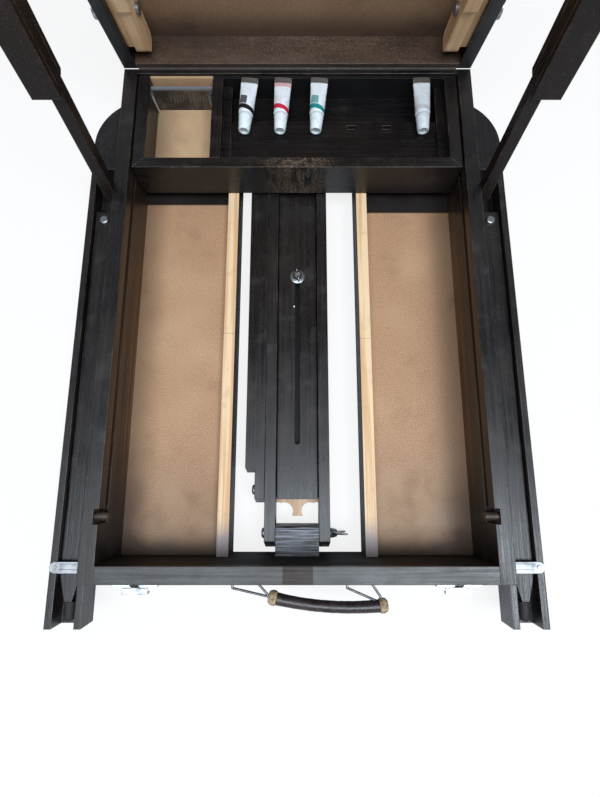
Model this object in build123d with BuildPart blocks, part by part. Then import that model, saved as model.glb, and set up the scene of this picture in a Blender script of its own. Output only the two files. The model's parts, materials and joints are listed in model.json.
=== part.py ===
from build123d import *
import math
import os

# Box easel: a black-stained sketch box with a propped lid, a sliding paint tray,
# two telescoping side legs and one centre leg that folds into an open bay.
# Millimetres. X is left to right, +Y is towards the lid hinge, +Z is up.
# The origin is the centre of the underside.

# Box
BOX_WIDTH = 400.0
BOX_DEPTH = 560.0
BOX_HEIGHT = 80.0
SIDE_THICK = 15.0
RAIL_THICK = 16.0
REAR_THICK = 6.0
FLOOR_THICK = 3.0
FLOOR_TOP = 21.0
BAY_WIDTH = 140.0
DIVIDER_THICK = 13.0
DIVIDER_TOP = 33.0
DIVIDER_BOTTOM = 2.0
JOINT_GAP = 0.3
SLIDE_GAP = 0.8

# Groove that carries the tray, and the stops at its front end
GROOVE_BOTTOM = 60.0
GROOVE_HEIGHT = 7.0
GROOVE_DEEP = 5.0
NOTCH_IN = 60.0
NOTCH_LONG = 14.0
PEG_RADIUS = 4.0
PEG_OUT = 8.0
PEG_LOW = 2.0

# Tray
TRAY_REACH = 126.5
TRAY_BOTTOM = 34.0
TRAY_TOP = 77.0
TRAY_FRONT_THICK = 12.0
TRAY_SIDE_THICK = 13.0
TRAY_REAR_THICK = 3.0
TRAY_FLOOR_TOP = 46.0
TIN_BAY_WIDE = 72.4
BAY_SPLIT_THICK = 12.0
TIN_BACK = 22.0
TIN_THICK = 0.8
TIN_HEIGHT = 29.0
TIN_FLANGE = 9.0
RACK_TOP = 66.0
RACK_LEDGE = 61.0
RACK_RECESS = 50.0
RACK_RIM = 9.0
RECESS_REACH = 53.0
CAP_NOTCH_IN = (66.4, 106.9)
CAP_NOTCH_WIDE = 11.0
CAP_NOTCH_LONG = 9.0
CAP_NOTCH_DEEP = 5.0
CAP_NOTCH_BACK = 5.0

# Paint tubes: distance from the rack's left or right end and turn, in degrees, of each one
TUBES_LEFT = ((26.5, 6.4), (67.0, 3.7), (108.5, 4.4))
TUBES_RIGHT = ((25.9, -1.3),)
TUBE_RADIUS = 8.6
TUBE_LONG = 39.0
TUBE_CRIMP_WIDE = 20.0
TUBE_CRIMP_THICK = 1.2
TUBE_CRIMP_LONG = 4.0
TUBE_TILT = 9.0
SHOULDER_REACH = 52.2
TUBE_NECK_LONG = 3.0
CAP_LONG = 17.0
CAP_BASE_RADIUS = 7.6
CAP_TIP_RADIUS = 6.6

# Lid, drawn along its own length from the hinge pin
LID_OPEN = 78.0
LID_DEPTH = 46.0
LID_SIDE_THICK = 15.0
LID_RAIL_THICK = 7.0
LID_PANEL_INSET = 31.0
LID_PANEL_THICK = 3.0
LID_SEAT = 0.3
HINGE_OUT = 0.4
HINGE_BARREL = 2.0
HINGE_PIN = 1.0
HINGE_LEAF = 1.0
HINGE_INSET = 2.0
HINGE_KNUCKLES = 15
HINGE_REACH = 14.0

# Pale holders inside the lid
HOLDER_BASE_THICK = 7.5
HOLDER_BASE_WIDE = 18.0
HOLDER_BASE_START = 26.0
HOLDER_THICK = 15.0
HOLDER_WIDE = 22.0
HOLDER_START = 17.0
HOLDER_LONG = 300.0
HOLDER_ROUND = 8.0
HOLDER_RISE = 2.0
HOLDER_SLOT_START = 48.0
HOLDER_TRAVEL = 60.0
HOLDER_LIP_START = 74.0
HOLDER_LIP_LONG = 26.0
HOLDER_LIP_RISE = 3.5
CLAMP_BOLT_RADIUS = 2.5
CLAMP_ALONG = 62.0
CLAMP_KNOB_RADIUS = 8.5
CLAMP_KNOB_THICK = 5.0
BOLT_HEAD_RADIUS = 5.5
BOLT_HEAD_HIGH = 3.2

# Telescoping lid stays
STAY_PIVOT_REACH = 153.5
STAY_PIVOT_Z = 74.5
STAY_ROD = 12.0
STAY_BAR_WIDE = 24.5
STAY_BAR_THICK = 25.0
STAY_ALONG_LID = 474.0
STAY_OFF_LID = 22.0
STAY_LAP = 111.5
STAY_TRAVEL = 166.0
STAY_SLANT = 22.0
STAY_END = 10.0
STAY_ROUND = 8.0
STAY_SLIT = 0.9
STAY_BOLT_RADIUS = 3.0

# Side legs
LEG_GAP = 5.0
LEG_WIDE = 35.0
LEG_WALL = 6.7
LEG_TOP = 53.5
LEG_HIGH = 25.0
LEG_BASE = 6.0
LEG_FRONT_OUT = 45.6
LEG_REAR_BACK = 24.0
LEG_SHOULDER_BACK = 74.0
LEG_TROUGH_BACK = 110.0
LEG_PIVOT_BACK = 74.5
LEG_HEAD_ROUND = 10.0
LEG_CURVE_IN = 9.0
LEG_CURVE_BACK = 5.0
INNER_REACH = 162.0
TAPER_IN = 2.0
TOE_OUT = 23.0
INNER_SINK = 6.0
INNER_GAP = 0.8
TOE_WIDE = 7.0
TIP_RADIUS = 6.3
TIP_LONG = 19.0
LOCK_REACH = 172.5
LOCK_BOLT_RADIUS = 2.5
LEG_TRAVEL = 340.0
STRAP_IN = 10.0
STRAP_WIDE = 10.5
STRAP_THICK = 1.2
STRAP_RIB = 0.8
SCREW_RADIUS = 2.2
LEG_BOLT_RADIUS = 3.0
NUT_RADIUS = 5.5
NUT_HIGH = 6.0
WING_SPAN = 22.0
WING_HIGH = 9.0
WING_THICK = 2.0

# Centre leg
CENTRE_INNER = 46.0
CENTRE_WALL = 11.6
CENTRE_TOP = 30.0
CENTRE_HIGH = 25.0
CENTRE_BASE = 6.0
CENTRE_PIVOT_IN = 38.0
CENTRE_PIVOT_Z = 17.0
CENTRE_TOP_IN = 30.5
CENTRE_LOW_IN = 22.0
CENTRE_REAR_BACK = 30.0
BASE_IN = 55.0
BASE_SCALLOP = 9.5
BASE_WAIST = 9.0
PLANK_THICK = 9.5
PLANK_IN = 73.0
PLANK_REAR_BACK = 34.0
PLANK_GAP = 1.0
SLOT_WIDE = 6.2
SLOT_IN = 132.0
PLANK_NUT_REACH = 229.0
PLANK_NUT_HIGH = 5.0
PLANK_WASHER_RADIUS = 8.7
PLANK_NUT_TURN = 11.0
PLANK_WING_HIGH = 4.5
BLOCK_LONG = 31.0
BLOCK_TOP = 32.0
BLOCK_BOTTOM = 3.0
BLOCK_ROUND = 5.0
BRACE_THICK = 10.5
BRACE_HIGH = 20.0
BRACE_BOTTOM = 8.0
BRACE_GAP = 0.4
BRACE_IN = 74.0
BRACE_OUTER_IN = 106.5
BRACE_REAR_BACK = 48.0
BRACE_PIVOT_IN = 83.0
BRACE_SLANT = 5.0

# Handle and latches on the front rail
HANDLE_Z = 48.0
STAPLE_PLACES = (-52.0, 60.0)
STAPLE_OUT = 7.0
STAPLE_THICK = 1.2
STAPLE_WIDE = 46.0
STAPLE_HIGH = 14.0
RIVET_RADIUS = 3.0
RIVET_INSET = 5.0
LOOP_RADIUS = 1.5
LOOP_HALF = 11.0
LOOP_STEP = 7.0
GRIP_RADIUS = 6.0
# Start, middle and end of the grip's arc: place across the box and distance in front of it
GRIP_PLACES = ((-20.0, 19.5), (38.0, 27.0), (80.0, 26.0))
GRIP_CAP_RADIUS = 7.0
GRIP_CAP_LONG = 10.0
LATCH_IN = 48.0
LATCH_PLATE_WIDE = 43.0
LATCH_PLATE_HIGH = 30.0
LATCH_PLATE_THICK = 1.5
LATCH_RIM_OUT = 4.6
LATCH_RIM_HIGH = 7.0
LATCH_GAP_WIDE = 8.4
LATCH_PIN_Z = 63.5
LATCH_PIN_OUT = 3.6
LATCH_PIN_RADIUS = 0.9
LATCH_EYE_RADIUS = 1.8
LATCH_LEVER_WIDE = 24.0
LATCH_LEVER_START = 3.0
LATCH_LEVER_END = 8.4
LATCH_LEVER_THICK = 2.0
LATCH_LIP_THICK = 1.6
LATCH_LIP_DROP = 6.0
CATCH_WIDE = 36.0
CATCH_HIGH = 14.0
CATCH_THICK = 1.5
CATCH_LEDGE = 4.0

# Worked out from the sizes above
HALF_WIDTH = BOX_WIDTH / 2
INNER_HALF = HALF_WIDTH - SIDE_THICK
FRONT_Y = -BOX_DEPTH / 2
REAR_Y = BOX_DEPTH / 2
NOTCH_Y = FRONT_Y + NOTCH_IN
LEG_FRONT = FRONT_Y - LEG_FRONT_OUT
INNER_TAPER = FRONT_Y + TAPER_IN
INNER_TOE = FRONT_Y - TOE_OUT
STRAP_Y = FRONT_Y + STRAP_IN
CENTRE_PIVOT_Y = FRONT_Y + CENTRE_PIVOT_IN
CENTRE_FRONT_TOP = FRONT_Y + CENTRE_TOP_IN
CENTRE_FRONT_LOW = FRONT_Y + CENTRE_LOW_IN
BASE_FRONT = FRONT_Y + BASE_IN
PLANK_FRONT = FRONT_Y + PLANK_IN
SLOT_FRONT = FRONT_Y + SLOT_IN
BRACE_FRONT = FRONT_Y + BRACE_IN
BRACE_OUTER_FRONT = FRONT_Y + BRACE_OUTER_IN
BRACE_PIVOT_Y = FRONT_Y + BRACE_PIVOT_IN
TRAY_FRONT = REAR_Y - TRAY_REACH
TIN_Y = REAR_Y - TIN_BACK
RACK_RECESS_FRONT = REAR_Y - RECESS_REACH
TUBE_SHOULDER_Y = REAR_Y - SHOULDER_REACH
STAY_PIVOT_Y = REAR_Y - STAY_PIVOT_REACH
LEG_REAR = REAR_Y - LEG_REAR_BACK
LEG_SHOULDER = REAR_Y - LEG_SHOULDER_BACK
LEG_TROUGH_END = REAR_Y - LEG_TROUGH_BACK
LEG_PIVOT_Y = REAR_Y - LEG_PIVOT_BACK
INNER_REAR = REAR_Y - INNER_REACH
LOCK_Y = REAR_Y - LOCK_REACH
CENTRE_REAR = REAR_Y - CENTRE_REAR_BACK
PLANK_REAR = REAR_Y - PLANK_REAR_BACK
PLANK_NUT_Y = REAR_Y - PLANK_NUT_REACH
BRACE_REAR = REAR_Y - BRACE_REAR_BACK
RAIL_INNER_Y = FRONT_Y + RAIL_THICK
REAR_INNER_Y = REAR_Y - REAR_THICK
BAY_HALF = BAY_WIDTH / 2
DIVIDER_OUTER = BAY_HALF + DIVIDER_THICK
TRAY_HALF = INNER_HALF - 2 * SLIDE_GAP
TRAY_REAR = REAR_INNER_Y - JOINT_GAP
TRAY_INNER_FRONT = TRAY_FRONT + TRAY_FRONT_THICK
TRAY_INNER_REAR = TRAY_REAR - TRAY_REAR_THICK
TRAY_INNER_HALF = TRAY_HALF - TRAY_SIDE_THICK
BAY_SPLIT_LEFT = TIN_BAY_WIDE - TRAY_INNER_HALF
RACK_LEFT = BAY_SPLIT_LEFT + BAY_SPLIT_THICK
CAP_NOTCH = [TRAY_INNER_HALF - inward for inward in CAP_NOTCH_IN]
TUBES = [(RACK_LEFT + along, turn) for along, turn in TUBES_LEFT]
TUBES += [(TRAY_INNER_HALF - inward, turn) for inward, turn in TUBES_RIGHT]
HINGE_Y = REAR_Y + HINGE_OUT
HINGE_Z = BOX_HEIGHT
HINGE_LONG = 2 * (INNER_HALF - HINGE_INSET)
KNUCKLE_ROOM = HINGE_LONG + 2 * JOINT_GAP
LID_START = HINGE_OUT
LID_END = LID_START + BOX_DEPTH
LID_INNER_HALF = HALF_WIDTH - LID_SIDE_THICK
HOLDER_BASE_FACE = LID_INNER_HALF - HOLDER_BASE_THICK
HOLDER_FACE = HOLDER_BASE_FACE - JOINT_GAP - HOLDER_THICK
HOLDER_MID = HOLDER_RISE + HOLDER_WIDE / 2
LEG_INNER_X = HALF_WIDTH + LEG_GAP
LEG_OUTER_X = LEG_INNER_X + LEG_WIDE
LEG_MID_X = (LEG_INNER_X + LEG_OUTER_X) / 2
LEG_BOTTOM = LEG_TOP - LEG_HIGH
LEG_MID_Z = (LEG_TOP + LEG_BOTTOM) / 2
INNER_WIDE = LEG_WIDE - 2 * LEG_WALL - 2 * INNER_GAP
INNER_TOP = LEG_TOP - INNER_SINK
INNER_BOTTOM = LEG_BOTTOM + LEG_BASE + JOINT_GAP
CENTRE_HALF = CENTRE_INNER / 2
CENTRE_OUTER = CENTRE_HALF + CENTRE_WALL
CENTRE_BOTTOM = CENTRE_TOP - CENTRE_HIGH
PLANK_BOTTOM = CENTRE_BOTTOM + CENTRE_BASE + JOINT_GAP
PLANK_TOP = PLANK_BOTTOM + PLANK_THICK
PLANK_HALF = CENTRE_HALF - PLANK_GAP
STAY_FACE = HALF_WIDTH + JOINT_GAP
LATCH_PLACES = (LATCH_IN - HALF_WIDTH, HALF_WIDTH - LATCH_IN)
STAY_MID = STAY_FACE + STAY_ROD / 2
STAY_GROOVE = STAY_ROD + 2 * STAY_SLIT

SIDES = (("left", -1), ("right", 1))

lid_angle = math.radians(LID_OPEN)
LID_PLANE = Plane(
    origin=(0, HINGE_Y, HINGE_Z),
    x_dir=(0, -math.cos(lid_angle), math.sin(lid_angle)),
    z_dir=(0, math.sin(lid_angle), math.cos(lid_angle)),
)
stay_top = LID_PLANE.from_local_coords(Vector(STAY_ALONG_LID, 0, STAY_OFF_LID))
stay_run = Vector(0, stay_top.Y - STAY_PIVOT_Y, stay_top.Z - STAY_PIVOT_Z)
STAY_LONG = stay_run.length
STAY_PLANE = Plane(
    origin=(0, STAY_PIVOT_Y, STAY_PIVOT_Z),
    x_dir=stay_run.normalized(),
    z_dir=stay_run.normalized().cross(Vector(1, 0, 0)),
)

os.makedirs("parts", exist_ok=True)


def slab(x, y, z, mode=Mode.ADD):
    """A block between three pairs of limits, in the part that is being built."""
    with Locations((sum(x) / 2, sum(y) / 2, sum(z) / 2)):
        Box(abs(x[1] - x[0]), abs(y[1] - y[0]), abs(z[1] - z[0]), mode=mode)


def rod(start, end, radius, mode=Mode.ADD):
    """A round bar from one point to another, in the part that is being built."""
    run = Vector(*end) - Vector(*start)
    with BuildSketch(Plane(origin=start, z_dir=run)) as section:
        Circle(radius)
    extrude(section.sketch, amount=run.length, mode=mode)


def save(builder, label):
    """Label a finished piece and write it."""
    builder.part.label = label
    export_step(builder.part, f"parts/{label}.step")


# ---- Box: side boards with a groove for the tray ----
for label, sign in SIDES:
    with BuildPart() as side_board:
        slab((sign * INNER_HALF, sign * HALF_WIDTH), (FRONT_Y, REAR_Y), (0, BOX_HEIGHT))
        groove_x = (sign * INNER_HALF, sign * (INNER_HALF + GROOVE_DEEP))
        slab(
            groove_x,
            (NOTCH_Y - NOTCH_LONG / 2, REAR_INNER_Y),
            (GROOVE_BOTTOM, GROOVE_BOTTOM + GROOVE_HEIGHT),
            mode=Mode.SUBTRACT,
        )
        slab(
            groove_x,
            (NOTCH_Y - NOTCH_LONG / 2, NOTCH_Y + NOTCH_LONG / 2),
            (GROOVE_BOTTOM, BOX_HEIGHT),
            mode=Mode.SUBTRACT,
        )
        rod(
            (sign * INNER_HALF, LEG_PIVOT_Y, LEG_MID_Z),
            (sign * HALF_WIDTH, LEG_PIVOT_Y, LEG_MID_Z),
            LEG_BOLT_RADIUS,
            mode=Mode.SUBTRACT,
        )
        rod(
            (sign * INNER_HALF, LEG_PIVOT_Y, LEG_MID_Z),
            (sign * (INNER_HALF + BOLT_HEAD_HIGH + JOINT_GAP), LEG_PIVOT_Y, LEG_MID_Z),
            BOLT_HEAD_RADIUS + JOINT_GAP,
            mode=Mode.SUBTRACT,
        )
        rod(
            (sign * (HALF_WIDTH - SIDE_THICK / 2), STAY_PIVOT_Y, STAY_PIVOT_Z),
            (sign * HALF_WIDTH, STAY_PIVOT_Y, STAY_PIVOT_Z),
            STAY_BOLT_RADIUS,
            mode=Mode.SUBTRACT,
        )
        rod(
            (sign * INNER_HALF, NOTCH_Y, BOX_HEIGHT - PEG_RADIUS - PEG_LOW),
            (sign * (HALF_WIDTH - PEG_RADIUS), NOTCH_Y, BOX_HEIGHT - PEG_RADIUS - PEG_LOW),
            PEG_RADIUS,
            mode=Mode.SUBTRACT,
        )
    save(side_board, f"side_board_{label}")

# The pegs that stop the tray at the front of its grooves
with BuildPart() as tray_stop_pegs:
    for label, sign in SIDES:
        rod(
            (sign * (INNER_HALF - PEG_OUT), NOTCH_Y, BOX_HEIGHT - PEG_RADIUS - PEG_LOW),
            (sign * (HALF_WIDTH - PEG_RADIUS), NOTCH_Y, BOX_HEIGHT - PEG_RADIUS - PEG_LOW),
            PEG_RADIUS,
        )
save(tray_stop_pegs, "tray_stop_pegs")

# Front rail and thin rear board between the side boards
with BuildPart() as front_rail:
    slab((-INNER_HALF, INNER_HALF), (FRONT_Y, RAIL_INNER_Y), (0, BOX_HEIGHT))
save(front_rail, "front_rail")

# Rear board, cut away under the bay so that the centre leg's plank can run out
with BuildPart() as rear_board:
    slab((-INNER_HALF, INNER_HALF), (REAR_INNER_Y, REAR_Y), (0, BOX_HEIGHT))
    slab(
        (-BAY_HALF, BAY_HALF),
        (REAR_INNER_Y, REAR_Y),
        (0, DIVIDER_TOP),
        mode=Mode.SUBTRACT,
    )
    # Hollow that takes the inner half of the hinge knuckles
    rod(
        (-KNUCKLE_ROOM / 2, HINGE_Y, HINGE_Z),
        (KNUCKLE_ROOM / 2, HINGE_Y, HINGE_Z),
        HINGE_BARREL + JOINT_GAP,
        mode=Mode.SUBTRACT,
    )
save(rear_board, "rear_board")

# Hardboard floors of the two side compartments; the bay between them is open right through
with BuildPart() as compartment_floors:
    for label, sign in SIDES:
        slab(
            (sign * DIVIDER_OUTER, sign * INNER_HALF),
            (RAIL_INNER_Y, REAR_INNER_Y),
            (FLOOR_TOP - FLOOR_THICK, FLOOR_TOP),
        )
save(compartment_floors, "compartment_floors")

with BuildPart() as bay_dividers:
    for label, sign in SIDES:
        slab(
            (sign * BAY_HALF, sign * DIVIDER_OUTER),
            (RAIL_INNER_Y, REAR_INNER_Y),
            (DIVIDER_BOTTOM, DIVIDER_TOP),
        )
save(bay_dividers, "bay_dividers")

# Grained block on the front rail that carries the centre leg's pivot
BLOCK_HALF = CENTRE_HALF - BRACE_GAP
with BuildPart() as centre_leg_block:
    slab(
        (-BLOCK_HALF, BLOCK_HALF),
        (RAIL_INNER_Y, RAIL_INNER_Y + BLOCK_LONG),
        (BLOCK_BOTTOM, BLOCK_TOP),
    )
    rear_edges = centre_leg_block.edges().filter_by(Axis.X).group_by(Axis.Y)[-1]
    fillet(rear_edges, BLOCK_ROUND)
    rod(
        (-BLOCK_HALF, CENTRE_PIVOT_Y, CENTRE_PIVOT_Z),
        (BLOCK_HALF, CENTRE_PIVOT_Y, CENTRE_PIVOT_Z),
        STAY_BOLT_RADIUS,
        mode=Mode.SUBTRACT,
    )
save(centre_leg_block, "centre_leg_block")

# Continuous hinge: knuckles of the box's leaf, with the pin, alternate with the lid leaf's
KNUCKLE = HINGE_LONG / HINGE_KNUCKLES
KNUCKLE_MIDDLES = [KNUCKLE * (k - (HINGE_KNUCKLES - 1) / 2) for k in range(HINGE_KNUCKLES)]
KNUCKLE_HALF = (KNUCKLE - JOINT_GAP) / 2
with BuildPart() as box_hinge_leaves:
    leaf_y = (REAR_Y, REAR_Y + HINGE_LEAF)
    leaf_top = HINGE_Z - HINGE_BARREL - JOINT_GAP
    slab((-HINGE_LONG / 2, HINGE_LONG / 2), leaf_y, (HINGE_Z - HINGE_REACH, leaf_top))
    for middle in KNUCKLE_MIDDLES[::2]:
        ends = (middle - KNUCKLE_HALF, middle + KNUCKLE_HALF)
        rod((ends[0], HINGE_Y, HINGE_Z), (ends[1], HINGE_Y, HINGE_Z), HINGE_BARREL)
        slab(ends, leaf_y, (leaf_top, HINGE_Z))
    rod((-HINGE_LONG / 2, HINGE_Y, HINGE_Z), (HINGE_LONG / 2, HINGE_Y, HINGE_Z), HINGE_PIN)
save(box_hinge_leaves, "box_hinge_leaves")

with BuildPart(LID_PLANE) as lid_hinge_leaves:
    leaf_x = (LID_START - HINGE_LEAF, LID_START)
    leaf_low = HINGE_BARREL + JOINT_GAP
    slab(leaf_x, (-HINGE_LONG / 2, HINGE_LONG / 2), (leaf_low, HINGE_REACH))
    for middle in KNUCKLE_MIDDLES[1::2]:
        slab(leaf_x, (middle - KNUCKLE_HALF, middle + KNUCKLE_HALF), (0, leaf_low))
        with Locations(Location((0, middle, 0), (90, 0, 0))):
            Cylinder(HINGE_BARREL, 2 * KNUCKLE_HALF)
    with Locations(Location((0, 0, 0), (90, 0, 0))):
        Cylinder(HINGE_PIN + 0.05, HINGE_LONG, mode=Mode.SUBTRACT)
save(lid_hinge_leaves, "lid_hinge_leaves")


# ---- Tray: front wall mitred to the side walls, walls, bay, tin divider and tube rack ----
with BuildPart() as tray_front:
    with BuildSketch(Plane.XY.offset(TRAY_BOTTOM)):
        with BuildLine():
            Polyline(
                (-TRAY_HALF, TRAY_FRONT),
                (TRAY_HALF, TRAY_FRONT),
                (TRAY_INNER_HALF, TRAY_INNER_FRONT),
                (-TRAY_INNER_HALF, TRAY_INNER_FRONT),
                close=True,
            )
        make_face()
    extrude(amount=TRAY_TOP - TRAY_BOTTOM)
save(tray_front, "tray_front")

with BuildPart() as tray_walls:
    for label, sign in SIDES:
        with BuildSketch(Plane.XY.offset(TRAY_BOTTOM)):
            with BuildLine():
                Polyline(
                    (sign * TRAY_HALF, TRAY_FRONT),
                    (sign * TRAY_INNER_HALF, TRAY_INNER_FRONT),
                    (sign * TRAY_INNER_HALF, TRAY_REAR),
                    (sign * TRAY_HALF, TRAY_REAR),
                    close=True,
                )
            make_face()
        extrude(amount=TRAY_TOP - TRAY_BOTTOM)
        # Runner that slides in the side board's groove
        slab(
            (sign * TRAY_HALF, sign * (INNER_HALF + GROOVE_DEEP - SLIDE_GAP)),
            (TRAY_INNER_FRONT, TRAY_REAR),
            (GROOVE_BOTTOM + JOINT_GAP, GROOVE_BOTTOM + GROOVE_HEIGHT - JOINT_GAP),
        )
    slab(
        (BAY_SPLIT_LEFT, BAY_SPLIT_LEFT + BAY_SPLIT_THICK),
        (TRAY_INNER_FRONT, TRAY_INNER_REAR),
        (TRAY_BOTTOM, TRAY_TOP),
    )
save(tray_walls, "tray_walls")

with BuildPart() as tray_rear:
    slab((-TRAY_INNER_HALF, TRAY_INNER_HALF), (TRAY_INNER_REAR, TRAY_REAR), (TRAY_BOTTOM, TRAY_TOP))
save(tray_rear, "tray_rear")

with BuildPart() as tray_floor:
    slab(
        (-TRAY_INNER_HALF, BAY_SPLIT_LEFT),
        (TRAY_INNER_FRONT, TRAY_INNER_REAR),
        (TRAY_FLOOR_TOP - FLOOR_THICK, TRAY_FLOOR_TOP),
    )
save(tray_floor, "tray_floor")

# Sheet-metal divider across the bay, with its two ends folded forward
with BuildPart() as tin_divider:
    tin_x = (-TRAY_INNER_HALF, BAY_SPLIT_LEFT)
    tin_z = (TRAY_FLOOR_TOP, TRAY_FLOOR_TOP + TIN_HEIGHT)
    slab(tin_x, (TIN_Y, TIN_Y + TIN_THICK), tin_z)
    slab((tin_x[0], tin_x[0] + TIN_THICK), (TIN_Y - TIN_FLANGE, TIN_Y), tin_z)
    slab((tin_x[1] - TIN_THICK, tin_x[1]), (TIN_Y - TIN_FLANGE, TIN_Y), tin_z)
    slab(tin_x, (TIN_Y, TIN_Y + TIN_FLANGE / 2), (tin_z[1], tin_z[1] + TIN_THICK))
save(tin_divider, "tin_divider")

# Tube rack: a ledge with cap notches between two rims, and a deeper recess behind it
with BuildPart() as tube_rack:
    slab(
        (RACK_LEFT, TRAY_INNER_HALF),
        (TRAY_INNER_FRONT, TRAY_INNER_REAR),
        (TRAY_BOTTOM, RACK_TOP),
    )
    rack_x = (RACK_LEFT + RACK_RIM, TRAY_INNER_HALF - RACK_RIM)
    slab(rack_x, (TRAY_INNER_FRONT, TRAY_INNER_REAR), (RACK_LEDGE, RACK_TOP), mode=Mode.SUBTRACT)
    slab(rack_x, (RACK_RECESS_FRONT, TRAY_INNER_REAR), (RACK_RECESS, RACK_TOP), mode=Mode.SUBTRACT)
    for place in CAP_NOTCH:
        slab(
            (place - CAP_NOTCH_WIDE / 2, place + CAP_NOTCH_WIDE / 2),
            (
                RACK_RECESS_FRONT - CAP_NOTCH_BACK - CAP_NOTCH_LONG,
                RACK_RECESS_FRONT - CAP_NOTCH_BACK,
            ),
            (RACK_LEDGE - CAP_NOTCH_DEEP, RACK_TOP),
            mode=Mode.SUBTRACT,
        )
save(tube_rack, "tube_rack")


def tube_plane(place, turn):
    """Axis of one tube: from its shoulder, up to the crimped end that leans on the rear wall."""
    tilt = math.radians(TUBE_TILT)
    yaw = math.radians(turn)
    cap_reach = TUBE_NECK_LONG + CAP_LONG
    rest = RACK_LEDGE + CAP_TIP_RADIUS + JOINT_GAP + cap_reach * math.sin(tilt)
    return Plane(
        origin=(place, TUBE_SHOULDER_Y, rest),
        x_dir=(math.cos(yaw), -math.sin(yaw), 0),
        z_dir=(math.sin(yaw) * math.cos(tilt), math.cos(yaw) * math.cos(tilt), math.sin(tilt)),
    )


with BuildPart() as paint_tubes:
    for place, turn in TUBES:
        axis = tube_plane(place, turn)
        with BuildSketch(axis):
            Circle(TUBE_RADIUS)
        with BuildSketch(axis.offset(TUBE_LONG)):
            Rectangle(TUBE_CRIMP_WIDE, TUBE_CRIMP_THICK)
        loft(ruled=True)
        with BuildSketch(axis.offset(TUBE_LONG)):
            Rectangle(TUBE_CRIMP_WIDE, TUBE_CRIMP_THICK)
        extrude(amount=TUBE_CRIMP_LONG)
        with BuildSketch(axis):
            Circle(TUBE_RADIUS)
        extrude(amount=-TUBE_NECK_LONG / 2)
        with BuildSketch(axis.offset(-TUBE_NECK_LONG / 2)):
            Circle(CAP_TIP_RADIUS)
        extrude(amount=-TUBE_NECK_LONG / 2)
save(paint_tubes, "paint_tubes")

with BuildPart() as tube_caps:
    for place, turn in TUBES:
        axis = tube_plane(place, turn).offset(-TUBE_NECK_LONG)
        with BuildSketch(axis):
            Circle(CAP_BASE_RADIUS)
        with BuildSketch(axis.offset(-CAP_LONG)):
            Circle(CAP_TIP_RADIUS)
        loft()
save(tube_caps, "tube_caps")


# ---- Lid: a frame with a hardboard panel, drawn along its own length ----
def clamp_slot(sign, inner, outer):
    """Slot along the lid for a holder's clamp bolt, through one thickness of wood."""
    half = CLAMP_BOLT_RADIUS + JOINT_GAP
    slab(
        (CLAMP_ALONG - half, CLAMP_ALONG + HOLDER_TRAVEL + half),
        (sign * inner, sign * outer),
        (HOLDER_MID - half, HOLDER_MID + half),
        mode=Mode.SUBTRACT,
    )


for label, sign in SIDES:
    with BuildPart(LID_PLANE) as lid_side:
        slab(
            (LID_START, LID_END),
            (sign * LID_INNER_HALF, sign * HALF_WIDTH),
            (LID_SEAT, LID_DEPTH),
        )
        clamp_slot(sign, HALF_WIDTH - LID_SIDE_THICK, HALF_WIDTH)
        slab(
            (LID_START + LID_RAIL_THICK, LID_END - LID_SIDE_THICK),
            (sign * LID_INNER_HALF, sign * (LID_INNER_HALF + GROOVE_DEEP)),
            (LID_PANEL_INSET, LID_PANEL_INSET + LID_PANEL_THICK),
            mode=Mode.SUBTRACT,
        )
    save(lid_side, f"lid_side_{label}")

with BuildPart(LID_PLANE) as lid_rails:
    rail_width = (-LID_INNER_HALF, LID_INNER_HALF)
    slab((LID_START, LID_START + LID_RAIL_THICK), rail_width, (LID_SEAT, LID_DEPTH))
    slab((LID_END - LID_SIDE_THICK, LID_END), rail_width, (LID_SEAT, LID_DEPTH))
    with Locations(Location((0, 0, 0), (90, 0, 0))):
        Cylinder(HINGE_BARREL + JOINT_GAP, KNUCKLE_ROOM, mode=Mode.SUBTRACT)
save(lid_rails, "lid_rails")

with BuildPart(LID_PLANE) as lid_panel:
    slab(
        (LID_START + LID_RAIL_THICK, LID_END - LID_SIDE_THICK),
        (-LID_INNER_HALF - GROOVE_DEEP, LID_INNER_HALF + GROOVE_DEEP),
        (LID_PANEL_INSET, LID_PANEL_INSET + LID_PANEL_THICK),
    )
save(lid_panel, "lid_panel")

# Pale base strips fixed inside the lid's sides
with BuildPart(LID_PLANE) as holder_bases:
    for label, sign in SIDES:
        slab(
            (HOLDER_BASE_START, LID_END - LID_SIDE_THICK),
            (sign * HOLDER_BASE_FACE, sign * LID_INNER_HALF),
            (HOLDER_MID - HOLDER_BASE_WIDE / 2, HOLDER_MID + HOLDER_BASE_WIDE / 2),
        )
        clamp_slot(sign, HOLDER_BASE_FACE, LID_INNER_HALF)
save(holder_bases, "holder_bases")

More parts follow.
